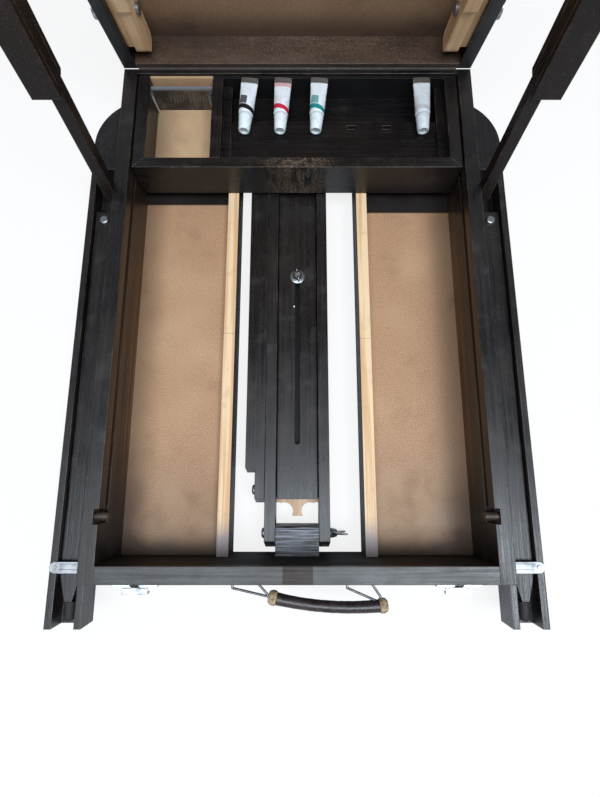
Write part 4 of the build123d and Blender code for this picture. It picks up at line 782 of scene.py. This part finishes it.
# The hinge is painted over
HINGE_PAINT = rgb(60, 54, 50)
HINGE_DARK = rgb(34, 30, 29)
painted = zinc("hinge_paint", dirt=0.3, rough=0.5, bright=HINGE_PAINT, dull=HINGE_DARK, metal=0.3)
for node in ("box_hinge_leaves", "lid_hinge_leaves"):
    dress(node, painted)

# Each latch's lever is painted black where its eye turns on the pin: a painted shadow of the dark notch between
# plate and lever
LATCH_EYE_FRONT = -0.2862
LATCH_EYE_SOFT = 0.0003
for label in ("left", "right"):
    finish = zinc(f"latch_{label}")
    surface, shader, colour = reopened(finish)
    across, along, up = along_axes(surface)
    notch_shadow = rise(along, LATCH_EYE_FRONT - LATCH_EYE_SOFT, LATCH_EYE_FRONT)
    metal = fed(finish, "Metallic") * (1 - notch_shadow)
    feed(shader, Base_Color=tint(notch_shadow, colour, STAIN_DEEP), Metallic=metal)
    dress(f"latch_lever_{label}", finish)


# ---- Paint tubes: soft metal tubes, painted white, folded twice at the end ----
# Each is squeezed flat towards its fold and lies in the rack with its cap to the front.
# The print is left bare but for a colour band by the shoulder and a patch above it.
TUBES = (
    # place across, turn in degrees, colour of the print, how much of it is on the fold, patch
    (-0.0595, 6.4, rgb(24, 23, 26), 0.0, 0.9),
    (-0.0190, 3.7, rgb(196, 38, 62), 0.55, 0.15),
    (0.0225, 4.4, rgb(24, 132, 132), 0.0, 0.8),
    (0.1445, -1.3, rgb(196, 200, 202), 0.0, 0.3),
)
RACK_LEDGE = 0.061
TUBE_TILT = math.radians(9.0)
TUBE_SHOULDER_Y = 0.2278
NECK_LONG = 0.003
CAP_LONG = 0.017
CAP_TIP_RADIUS = 0.0066
CAP_LIFT = 0.0003
# Rings of the tube from its neck to its fold: height over the shoulder, half width, half depth
TUBE_RINGS = (
    (-0.0031, 0.0048, 0.0048),
    (-0.0016, 0.0050, 0.0050),
    (-0.0015, 0.0072, 0.0072),
    (-0.0006, 0.0083, 0.0083),
    (0.0003, 0.0086, 0.0086),
    (0.0009, 0.0084, 0.0084),
    (0.0080, 0.0087, 0.0080),
    (0.0150, 0.0089, 0.0069),
    (0.0220, 0.0092, 0.0053),
    (0.0290, 0.0095, 0.0036),
    (0.0350, 0.0098, 0.0018),
    (0.0388, 0.0100, 0.0007),
    (0.0390, 0.0100, 0.0012),
    (0.0409, 0.0100, 0.0012),
    (0.0411, 0.0100, 0.0009),
    (0.0430, 0.0099, 0.0009),
)
# Rings of the round cap from its mouth by the neck to its hollow tip: height and radius. The
# middle ones are fluted, by drawing in every other vertex
CAP_RINGS = (
    (-0.0032, 0.0070),
    (-0.0033, 0.0076),
    (-0.0052, 0.0077),
    (-0.0056, 0.0074),
    (-0.0192, 0.0065),
    (-0.0199, 0.0061),
    (-0.0199, 0.0045),
    (-0.0182, 0.0042),
)
CAP_FLUTED_RINGS = range(3, 6)
CAP_SIDES = 40
CAP_FLUTE = 0.955
CAP_WHITE = rgb(220, 228, 230)
CAP_GREY = rgb(176, 184, 186)
CAP_HAZE = 0.005
CAP_GLOW = 0.15
CAP_GLOW_REACH = 0.002
TUBE_WHITE = rgb(222, 228, 232)
TUBE_GREY = rgb(150, 154, 158)
TUBE_METAL = rgb(122, 116, 110)
MILLIMETRE = 0.001
DENT_SIZE = (0.007, 0.016, 0.007)
DENT_DEEP = 0.0012
SCUFF_SIZE = 0.0016
PRINT_ROW_SIZE = (0.0011, 0.0035, 0.004)
PRINT_ROW_TURN = (0, 0, 0.1)
# Places on a tube in millimetres, from its line and up from its shoulder
FRONT_DEEP = 2.0
PRINT_SLANT = 0.25
PRINT_SOFT = 0.2
BAND_UP = (1.4, 6.6)
PATCH_ACROSS = (-7.5, 0.6)
PATCH_UP = (7.4, 17.5)
ROWS_ACROSS = (-1.5, 6.0)
ROWS_UP = (9.0, 29.0)
FOLD_UP = (31.0, 36.0)
BARE_UP = (36.5, 38.5)
SMOOTH_BELOW = math.radians(38)


def grow(shape, edges):
    """Extrudes some edges in place, and gives the new vertices and the new far edges."""
    grown = bmesh.ops.extrude_edge_only(shape, edges=edges)["geom"]
    verts = [part for part in grown if isinstance(part, bmesh.types.BMVert)]
    fresh = set(verts)
    edges = [
        part
        for part in grown
        if isinstance(part, bmesh.types.BMEdge) and fresh.issuperset(part.verts)
    ]
    return verts, edges


def stack(shape, rings, segments=36):
    """Grows a closed form along Z through rings: (height, half width, half depth or the same)."""
    height, wide, deep = rings[0][0], rings[0][1], rings[0][-1]
    verts = bmesh.ops.create_circle(shape, cap_ends=True, segments=segments, radius=1.0)["verts"]
    bmesh.ops.scale(shape, vec=(wide, deep, 1), verts=verts)
    bmesh.ops.translate(shape, vec=(0, 0, height), verts=verts)
    made = list(verts)
    edges = list({edge for vert in verts for edge in vert.link_edges})
    for ring in rings[1:]:
        verts, edges = grow(shape, edges)
        bmesh.ops.scale(shape, vec=(ring[1] / wide, ring[-1] / deep, 1), verts=verts)
        bmesh.ops.translate(shape, vec=(0, 0, ring[0] - height), verts=verts)
        height, wide, deep = ring[0], ring[1], ring[-1]
        made += verts
    bmesh.ops.holes_fill(shape, edges=edges, sides=0)
    return made


def placed(origin, x_axis, z_axis):
    """The matrix that puts a form drawn along Z at a place, with its X along an axis."""
    z_axis = Vector(z_axis).normalized()
    x_axis = Vector(x_axis)
    x_axis = (x_axis - z_axis * x_axis.dot(z_axis)).normalized()
    turn = Matrix((x_axis, z_axis.cross(x_axis), z_axis)).transposed().to_4x4()
    return Matrix.Translation(origin) @ turn


def add_piece(name, shape, finish, body, slot, *stands_for):
    """Makes a bmesh a smooth piece that rides on a body and stands for some CAD nodes."""
    bmesh.ops.recalc_face_normals(shape, faces=shape.faces)
    data = bpy.data.meshes.new(name)
    shape.to_mesh(data)
    shape.free()
    data.materials.append(finish)
    for face in data.polygons:
        face.use_smooth = True
    data.set_sharp_from_angle(angle=SMOOTH_BELOW)
    piece = bpy.data.objects.new(name, data)
    bpy.context.scene.collection.objects.link(piece)
    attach(piece, body)
    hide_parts(*stands_for)


def tube_paint(number, place, ink, fold_share, patch_share):
    """White enamel with a colour band and a patch, cracked to bare metal at the fold."""
    finish, surface, shader = new_finish(f"tube_paint_{number}")
    coords = cells(surface, MILLIMETRE, tuple(place.to_euler()), tuple(place.translation))
    side, depth, height = along_axes(surface, coords)
    dents = speckle(surface, DENT_SIZE, place=(0, 0, 0.01 * number), detail=2.0)
    scuffs = speckle(surface, SCUFF_SIZE, detail=4.0)
    rows = speckle(surface, PRINT_ROW_SIZE, PRINT_ROW_TURN, detail=2.0)
    facing = 1 - rise(depth, 0.0, FRONT_DEEP)
    slant = height + side * PRINT_SLANT
    band = between(slant, *BAND_UP, PRINT_SOFT) * facing
    patch = between(side, *PATCH_ACROSS, PRINT_SOFT) * between(slant, *PATCH_UP, PRINT_SOFT)
    patch = patch * facing * patch_share
    smudges = between(side, *ROWS_ACROSS, 4 * PRINT_SOFT)
    smudges = smudges * between(height, *ROWS_UP, 5 * PRINT_SOFT) * rise(rows, 0.56, 0.66)
    fold = between(height, *FOLD_UP, 2 * PRINT_SOFT)
    bare = rise(height + scuffs * 2.5, *BARE_UP)
    colour = tint(rise(scuffs, 0.6, 0.85) * 0.35, TUBE_WHITE, TUBE_GREY)
    colour = tint(smudges * facing * 0.45, colour, TUBE_GREY)
    colour = tint(band + patch * (1 - rise(scuffs, 0.6, 0.75) * 0.3), colour, ink)
    colour = tint(fold * fold_share, colour, ink)
    feed(
        shader,
        Base_Color=tint(bare, colour, TUBE_METAL),
        Roughness=0.34 + scuffs * 0.14,
        Metallic=bare * 0.7,
        Normal=raised(surface, dents + scuffs * 0.15, 0.5, DENT_DEEP),
    )
    return finish


cap_finish, surface, shader = new_finish("cap_plastic", specular=0.55)
haze = speckle(surface, CAP_HAZE, detail=4.0)
feed(
    shader,
    Base_Color=tint(rise(haze, 0.45, 0.8) * 0.5, CAP_WHITE, CAP_GREY),
    Roughness=0.32 + haze * 0.2,
    Subsurface_Weight=CAP_GLOW,
    Subsurface_Radius=(CAP_GLOW_REACH,) * 3,
)
cap_reach = (NECK_LONG + CAP_LONG) * math.sin(TUBE_TILT)
shoulder_z = RACK_LEDGE + CAP_TIP_RADIUS + CAP_LIFT + cap_reach
for number, (across, turn, ink, fold_share, patch_share) in enumerate(TUBES, start=1):
    yaw = math.radians(turn)
    flat = math.cos(TUBE_TILT)
    to_fold = (math.sin(yaw) * flat, math.cos(yaw) * flat, math.sin(TUBE_TILT))
    sideways = (math.cos(yaw), -math.sin(yaw), 0)
    place = placed((across, TUBE_SHOULDER_Y, shoulder_z), sideways, to_fold)
    tube = bmesh.new()
    stack(tube, TUBE_RINGS)
    bmesh.ops.transform(tube, matrix=place, verts=tube.verts)
    finish = tube_paint(number, place, ink, fold_share, patch_share)
    add_piece(f"paint_tube_{number}", tube, finish, "tray", "tube_paper", "paint_tubes")

    cap = bmesh.new()
    made = stack(cap, CAP_RINGS, segments=CAP_SIDES)
    rings = [made[ring * CAP_SIDES : (ring + 1) * CAP_SIDES] for ring in CAP_FLUTED_RINGS]
    fluted = [vert for ring in rings for vert in ring[::2]]
    bmesh.ops.scale(cap, vec=(CAP_FLUTE, CAP_FLUTE, 1), verts=fluted)
    bmesh.ops.transform(cap, matrix=place, verts=cap.verts)
    add_piece(f"tube_cap_{number}", cap, cap_finish, "tray", "cap_plastic", "tube_caps")


# ---- Tin divider: folded tinplate that parts the tray's left bay ----
# Cut with snips and folded by hand: both flanges taper down and curl at the front, and the
# upper lip is bent back. The face is stained by old paint and scribbled on.
TIN_THICK = 0.0008
TIN_SET_BACK = 0.009
TIN_ACROSS = 14
TIN_UP = 6
FLANGE_LONG = 0.0076
FLANGE_FOOT = 0.0045
CURL = 0.0016
SPLAY = 0.0026
LIP_STEPS = ((0, 0.0025, 0.0001), (0, 0.0012, -0.0009))
LIP_HIGH = 0.0036
LIP_SOFT = 0.0008
FACE_SKIN = 0.0002
FACE_SOFT = 0.0006
WRITING_LEFT = 0.014
WRITING_RIGHT = 0.016
WRITING_LOW = 0.009
WRITING_HIGH = 0.023
WRITING_SOFT = 0.002
TIN_FACE = rgb(92, 84, 76)
TIN_STAIN = rgb(52, 45, 42)
TIN_BRIGHT = rgb(196, 198, 194)
TIN_LIP = rgb(124, 128, 134)
SCRIBBLE = rgb(28, 24, 24)
TIN_GRIT = 0.0016
TIN_BLOT = 0.012
TIN_DEEP = 0.0005


def fold(shape, edges, *steps):
    """Extrudes some edges by each step in turn, and gives the last new edges."""
    for step in steps:
        verts, edges = grow(shape, edges)
        bmesh.ops.translate(shape, vec=step, verts=verts)
    return edges


def rim(shape, axis, place):
    """The open edges of a sheet that lie at a place along an axis."""
    return [
        edge
        for edge in shape.edges
        if edge.is_boundary and all(abs(vert.co[axis] - place) < 1e-5 for vert in edge.verts)
    ]


tin_low, tin_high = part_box("tin_divider")
tin_wide = tin_high.x - tin_low.x - 2 * TIN_THICK
tin_tall = tin_high.z - tin_low.z - TIN_THICK
face_y = tin_low.y + TIN_SET_BACK
tin_middle = Vector(((tin_low.x + tin_high.x) / 2, face_y + TIN_THICK, tin_low.z + tin_tall / 2))
tin = bmesh.new()
made = bmesh.ops.create_grid(tin, x_segments=TIN_ACROSS, y_segments=TIN_UP, size=0.5)["verts"]
bmesh.ops.scale(tin, vec=(tin_wide, tin_tall, 1), verts=made)
bmesh.ops.rotate(tin, cent=(0, 0, 0), matrix=Matrix.Rotation(math.pi / 2, 3, "X"), verts=made)
bmesh.ops.translate(tin, vec=tin_middle, verts=made)
sides = [(rim(tin, 0, tin_middle.x + sign * tin_wide / 2), sign) for sign in (-1, 1)]
upper = rim(tin, 2, tin_middle.z + tin_tall / 2)
for edges, sign in sides:
    splay = SPLAY if sign > 0 else 0
    front = fold(tin, edges, (-splay, -FLANGE_LONG - TIN_THICK / 2, 0))
    for vert in {vert for edge in front for vert in edge.verts}:
        vert.co.y += FLANGE_FOOT * (1 - (vert.co.z - tin_low.z) / tin_tall)
    inwards = -sign * CURL / 2
    fold(tin, front, (inwards, -CURL * 0.3, 0), (inwards, CURL * 0.6, 0))
fold(tin, upper, *LIP_STEPS)
bmesh.ops.recalc_face_normals(tin, faces=tin.faces)
bmesh.ops.solidify(tin, geom=tin.faces[:], thickness=TIN_THICK)

finish, surface, shader = new_finish("tinplate_stained")
across, along, up = along_axes(surface)
grit = speckle(surface, TIN_GRIT)
stain = speckle(surface, TIN_BLOT, detail=4.0)
strokes = surface.node(
    "ShaderNodeTexWave",
    {"bands_direction": "X"},
    {"Vector": cells(surface, TIN_BLOT), "Scale": 1.0, "Distortion": 9.0, "Detail": 2.0},
    output="Fac",
)
on_face = 1 - rise(face_y - along, -FACE_SKIN, FACE_SOFT - FACE_SKIN)
written = between(across, tin_low.x + WRITING_LEFT, tin_high.x - WRITING_RIGHT, 2 * WRITING_SOFT)
written = written * between(up, tin_low.z + WRITING_LOW, tin_low.z + WRITING_HIGH, WRITING_SOFT)
on_lip = rise(up, tin_high.z - LIP_HIGH, tin_high.z - LIP_HIGH + LIP_SOFT)
colour = tint(rise(stain, 0.35, 0.7), TIN_FACE, TIN_STAIN)
colour = tint(written * rise(strokes, 0.86, 0.95), colour, SCRIBBLE)
colour = tint(1 - on_face, colour, TIN_BRIGHT)
colour = tint(on_lip, colour, TIN_LIP)
feed(
    shader,
    Base_Color=tint(rise(grit, 0.6, 0.78) * 0.5, colour, TIN_STAIN),
    Metallic=0.75 - on_face * 0.5,
    Roughness=0.38 + rise(stain, 0.3, 0.7) * 0.2,
    Normal=raised(surface, grit + stain, 0.35, TIN_DEEP),
)
add_piece("tin_divider_sheet", tin, finish, "tray", "tin", "tin_divider")


# ---- Wing nuts: cast and zinc plated, with a round boss, two swept wings and a bore ----
# One holds the centre leg's plank, over a washer, one is on that leg's pivot bolt, and one
# is outside each side leg.
BOSS_RADIUS = 0.0052
BORE_RADIUS = 0.0024
WING_LONG = 0.0056
WING_HALF = 0.0015
WING_LEAN = math.radians(32)
WING_OUT = BOSS_RADIUS * 0.66
WING_FOOT = 0.34
BOSS_SIDES = 28
WING_SIDES = 20
# Rings of the boss: shares of its height and of its radius, and then those of the bore
BOSS_RINGS = ((0.0, 0.94), (0.08, 1.0), (0.5, 0.94), (0.92, 0.76), (1.0, 0.68))
BORE_RINGS = ((1.0, 1.0), (0.55, 0.96))
# Rings of a wing: shares of its height, of its length and of its half thickness
WING_RINGS = (
    (0.0, 0.52, 1.3),
    (0.2, 0.62, 1.1),
    (0.5, 0.72, 0.8),
    (0.8, 0.58, 0.75),
    (0.95, 0.32, 0.6),
    (1.0, 0.1, 0.2),
)
NUT_WASHER = 0.0012
NUT_WASHER_EDGE = 0.0003


def wing_nut(shape, foot, out, wing_axis, boss_high, wing_high):
    """Adds one wing nut: its boss stands on a foot and its wings sweep up beside it."""
    rings = [(boss_high * up, BOSS_RADIUS * wide) for up, wide in BOSS_RINGS]
    rings += [(boss_high * up, BORE_RADIUS * wide) for up, wide in BORE_RINGS]
    made = stack(shape, rings, segments=BOSS_SIDES)
    rings = [(wing_high * up, WING_LONG * wide, WING_HALF * deep) for up, wide, deep in WING_RINGS]
    for side in (-1, 1):
        wing = stack(shape, rings, segments=WING_SIDES)
        lean = Matrix.Rotation(side * WING_LEAN, 4, "Y")
        lift = Matrix.Translation((side * WING_OUT, 0, boss_high * WING_FOOT))
        bmesh.ops.transform(shape, matrix=lift @ lean, verts=wing)
        made += wing
    bmesh.ops.transform(shape, matrix=placed(foot, wing_axis, out), verts=made)


nut_finish = zinc("zinc_wing_nut", rough=0.2)

PLANK_NUT_BOSS = 0.005
PLANK_NUT_WINGS = (-0.2, 0.98, 0)
low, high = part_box("plank_wing_nut")
foot = Vector(((low.x + high.x) / 2, (low.y + high.y) / 2, low.z))
washer_radius = (high.x - low.x) / 2
plank_nut = bmesh.new()
washer = stack(
    plank_nut,
    (
        (0, washer_radius),
        (NUT_WASHER - NUT_WASHER_EDGE, washer_radius),
        (NUT_WASHER, washer_radius * 0.95),
    ),
)
bmesh.ops.translate(plank_nut, vec=foot, verts=washer)
foot.z += NUT_WASHER
wing_nut(plank_nut, foot, (0, 0, 1), PLANK_NUT_WINGS, PLANK_NUT_BOSS, high.z - foot.z)
add_piece("plank_nut_cast", plank_nut, nut_finish, "plank_nut", "steel", "plank_wing_nut")

CENTRE_NUT_BOSS = 0.0075
CENTRE_NUT_SPARE = 0.003
low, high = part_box("centre_pivot_nut")
wing_high = high.x - low.x - CENTRE_NUT_SPARE
foot = Vector((low.x, (low.y + high.y) / 2, (low.z + high.z) / 2))
centre_nut = bmesh.new()
wing_nut(centre_nut, foot, (1, 0, 0), (0, 0, 1), CENTRE_NUT_BOSS, wing_high)
add_piece("centre_nut_cast", centre_nut, nut_finish, "centre_nut", "steel", "centre_pivot_nut")

LEG_NUT_DEEP = 0.012
LEG_NUT_BOSS = 0.006
LEG_NUT_WING = 0.0105
low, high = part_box("leg_pivot_nuts")
leg_nuts = bmesh.new()
for sign in (-1, 1):
    foot_x = sign * (high.x - LEG_NUT_DEEP)
    foot = Vector((foot_x, (low.y + high.y) / 2, (low.z + high.z) / 2))
    wing_nut(leg_nuts, foot, (sign, 0, 0), (0, 0, 1), LEG_NUT_BOSS, LEG_NUT_WING)
add_piece("leg_nuts_cast", leg_nuts, nut_finish, "box", "steel", "leg_pivot_nuts")


# ---- Feet of the side legs: black rubber boots pushed over the inner legs ----
# Moulded with a thicker mouth and a domed sole, and scuffed grey by the ground.
RUBBER = rgb(34, 33, 33)
RUBBER_GREY = rgb(70, 67, 62)
RUBBER_SCUFF = 0.004
RUBBER_GRAIN = 0.0005
RUBBER_DEEP = 0.0002
# Rings from mouth to sole: shares of the boot's length and of its half width
BOOT_RINGS = (
    (0.0, 0.90),
    (0.02, 1.0),
    (0.16, 1.0),
    (0.18, 0.94),
    (0.72, 0.92),
    (0.88, 0.84),
    (0.97, 0.62),
    (1.0, 0.3),
)
finish, surface, shader = new_finish("rubber_boot", specular=0.35)
scuffs = speckle(surface, RUBBER_SCUFF, detail=5.0)
grain = speckle(surface, RUBBER_GRAIN, detail=1.0)
feed(
    shader,
    Base_Color=tint(rise(scuffs, 0.5, 0.75) * 0.5, RUBBER, RUBBER_GREY),
    Roughness=0.55 + scuffs * 0.2,
    Normal=raised(surface, grain, 0.25, RUBBER_DEEP),
)
for label in ("left", "right"):
    low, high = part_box(f"leg_tip_{label}")
    half = (high.x - low.x) / 2
    foot = Vector(((low.x + high.x) / 2, high.y, (low.z + high.z) / 2))
    boot = bmesh.new()
    stack(boot, [(share * (high.y - low.y), half * wide) for share, wide in BOOT_RINGS])
    bmesh.ops.transform(boot, matrix=placed(foot, (1, 0, 0), (0, -1, 0)), verts=boot.verts)
    add_piece(f"leg_boot_{label}", boot, finish, f"foot_{label}", "rubber", f"leg_tip_{label}")


# ---- Carrying handle: a stitched leather roll, bowed and creased by the hand ----
# The roll follows an arc through three places, with its seam along the outer side.
GRIP_PLACES = ((-0.020, -0.2995), (0.038, -0.307), (0.080, -0.306))
HANDLE_Z = 0.048
GRIP_RADIUS = 0.0058
GRIP_SIDES = 32
GRIP_STEPS = 56
GRIP_WAIST = 0.93
GRIP_SWELL = 0.08
CREASE_DEEP = 0.02
CREASE_WAVES = 61
CREASE_BEAT = 23
SEAM_HIGH = 0.00045
SEAM_TURN = 0.5
SEAM_WIDE = 0.16
LEATHER = rgb(38, 29, 31)
LEATHER_WORN = rgb(62, 50, 52)
LEATHER_CREASE_SHADE = rgb(20, 15, 17)
PEBBLE_SIZE = 0.0008
CREASE_SIZE = (0.0022, 0.012, 0.012)
CREASE_TURN = (0, 0, 0.1)
LEATHER_WEAR = 0.011
LEATHER_DEEP = 0.0006

first, middle, last = (Vector((x, y)) for x, y in GRIP_PLACES)
chord, other = middle - first, last - first
slope = 2 * (chord.x * other.y - chord.y * other.x)
centre = first + Vector(
    (
        (other.y * chord.length_squared - chord.y * other.length_squared) / slope,
        (chord.x * other.length_squared - other.x * chord.length_squared) / slope,
    )
)
bow = (first - centre).length
start_angle = math.atan2(first.y - centre.y, first.x - centre.x)
sweep = math.atan2(last.y - centre.y, last.x - centre.x) - start_angle
radial = Vector((math.cos(start_angle), math.sin(start_angle), 0))
start_place = Vector((first.x, first.y, HANDLE_Z))
grip = bmesh.new()
ring = bmesh.ops.create_circle(grip, segments=GRIP_SIDES, radius=GRIP_RADIUS)["verts"]
bmesh.ops.transform(
    grip, matrix=placed(start_place, radial, (-radial.y, radial.x, 0)), verts=ring
)
bmesh.ops.spin(
    grip,
    geom=ring + grip.edges[:],
    cent=(centre.x, centre.y, HANDLE_Z),
    axis=(0, 0, 1),
    angle=sweep,
    steps=GRIP_STEPS,
)
for vert in grip.verts:
    flat = Vector((vert.co.x - centre.x, vert.co.y - centre.y))
    share = (math.atan2(flat.y, flat.x) - start_angle) / sweep
    off_line, off_level = flat.length - bow, vert.co.z - HANDLE_Z
    turned = math.atan2(off_level, off_line)
    towards_end = 2 * share - 1
    crease = CREASE_DEEP * math.sin(CREASE_WAVES * share)
    crease *= math.sin(CREASE_BEAT * share + 2 * turned)
    scale = GRIP_WAIST + GRIP_SWELL * towards_end**4 + crease * (1 - towards_end**2)
    scale += SEAM_HIGH / GRIP_RADIUS * math.exp(-(((turned - SEAM_TURN) / SEAM_WIDE) ** 2))
    flat = flat.normalized() * (bow + off_line * scale)
    vert.co = Vector((centre.x + flat.x, centre.y + flat.y, HANDLE_Z + off_level * scale))
bmesh.ops.holes_fill(grip, edges=[edge for edge in grip.edges if edge.is_boundary], sides=0)
finish, surface, shader = new_finish("handle_leather", specular=0.55)
pebble = surface.node(
    "ShaderNodeTexVoronoi",
    None,
    {"Vector": cells(surface, PEBBLE_SIZE), "Scale": 1.0},
    output="Distance",
)
creases = speckle(surface, CREASE_SIZE, CREASE_TURN, detail=4.0)
wear = speckle(surface, LEATHER_WEAR, detail=4.0)
colour = tint(rise(wear, 0.4, 0.72) * 0.75, LEATHER, LEATHER_WORN)
# Painted shade: the creases' hollows are painted darker
feed(
    shader,
    Base_Color=tint(1 - rise(creases, 0.28, 0.42), colour, LEATHER_CREASE_SHADE),
    Roughness=0.26 + rise(wear, 0.3, 0.7) * 0.16,
    Normal=raised(surface, creases + pebble * 0.25, 0.55, LEATHER_DEEP),
    Coat_Weight=0.12,
)
add_piece("leather_roll", grip, finish, "handle", "leather", "handle_grip")


# ---- Ends of the handle: a tan leather washer and a bent steel wire on each ----
# Each wire is a closed loop that goes through its staple on the front rail and meets in
# the washer. Both run on in the line of the roll.
WASHER_RADIUS = 0.0071
WASHER_THICK = 0.0080
# Rings from the roll outwards: shares of the washer's thickness and of its radius
WASHER_RINGS = (
    (0.0, 0.9),
    (0.1, 1.0),
    (0.5, 1.0),
    (0.8, 0.88),
    (1.0, 0.62),
    (1.0, 0.26),
    (0.55, 0.24),
)
WIRE_RADIUS = 0.0012
WIRE_SIDES = 14
WIRE_INTO_WASHER = 0.8
WIRE_ROUND = 0.0001
WIRE_HALF = 0.011
WIRE_BACK = -0.2830
WIRE_FRONT = -0.2900
STAPLE_LEFT = -0.052
STAPLE_RIGHT = 0.060
TAN = rgb(172, 150, 118)
TAN_DARK = rgb(96, 80, 62)
TAN_MOTTLE = 0.003
TAN_ROUND = 0.0005
TAN_DEEP = 0.0003
WIRE_GREY = rgb(112, 114, 120)
WIRE_DARK = rgb(60, 61, 66)
washers = bmesh.new()
wires = bmesh.new()
for end, angle, staple in ((-1, start_angle, STAPLE_LEFT), (1, start_angle + sweep, STAPLE_RIGHT)):
    face = Vector((centre.x + bow * math.cos(angle), centre.y + bow * math.sin(angle), HANDLE_Z))
    out = Vector((-math.sin(angle), math.cos(angle), 0)) * (end * math.copysign(1, sweep))
    rings = [(share * WASHER_THICK, WASHER_RADIUS * wide) for share, wide in WASHER_RINGS]
    made = stack(washers, rings)
    bmesh.ops.transform(washers, matrix=placed(face, (0, 0, 1), out), verts=made)
    corners = [
        Vector((staple - WIRE_HALF, WIRE_BACK, HANDLE_Z)),
        Vector((staple + WIRE_HALF, WIRE_BACK, HANDLE_Z)),
        face + out * (WASHER_THICK * WIRE_INTO_WASHER),
        Vector((staple - WIRE_HALF, WIRE_FRONT, HANDLE_Z)),
    ]
    for start, stop in zip(corners, corners[1:] + corners[:1]):
        rings = ((0, WIRE_RADIUS), ((stop - start).length, WIRE_RADIUS))
        made = stack(wires, rings, segments=WIRE_SIDES)
        bmesh.ops.transform(wires, matrix=placed(start, (0, 0, 1), stop - start), verts=made)
        bmesh.ops.create_icosphere(
            wires, subdivisions=2, radius=WIRE_RADIUS, matrix=Matrix.Translation(start)
        )
finish, surface, shader = new_finish("tan_washer", specular=0.4)
mottle = speckle(surface, TAN_MOTTLE, detail=4.0)
rounded, edge = worn_edge(surface, TAN_ROUND)
colour = tint(rise(mottle, 0.42, 0.7), TAN, TAN_DARK)
feed(
    shader,
    Base_Color=tint(edge * 0.5, colour, TAN_DARK),
    Roughness=0.5 + mottle * 0.15,
    Normal=raised(surface, mottle, 0.3, TAN_DEEP, rounded),
)
add_piece("handle_washers", washers, finish, "handle", "leather", "handle_ends")
wire_finish = zinc(
    "zinc_wire", dirt=0.3, rough=0.18, radius=WIRE_ROUND, bright=WIRE_GREY, dull=WIRE_DARK
)
add_piece("handle_wires", wires, wire_finish, "handle", "steel", "handle_ends")
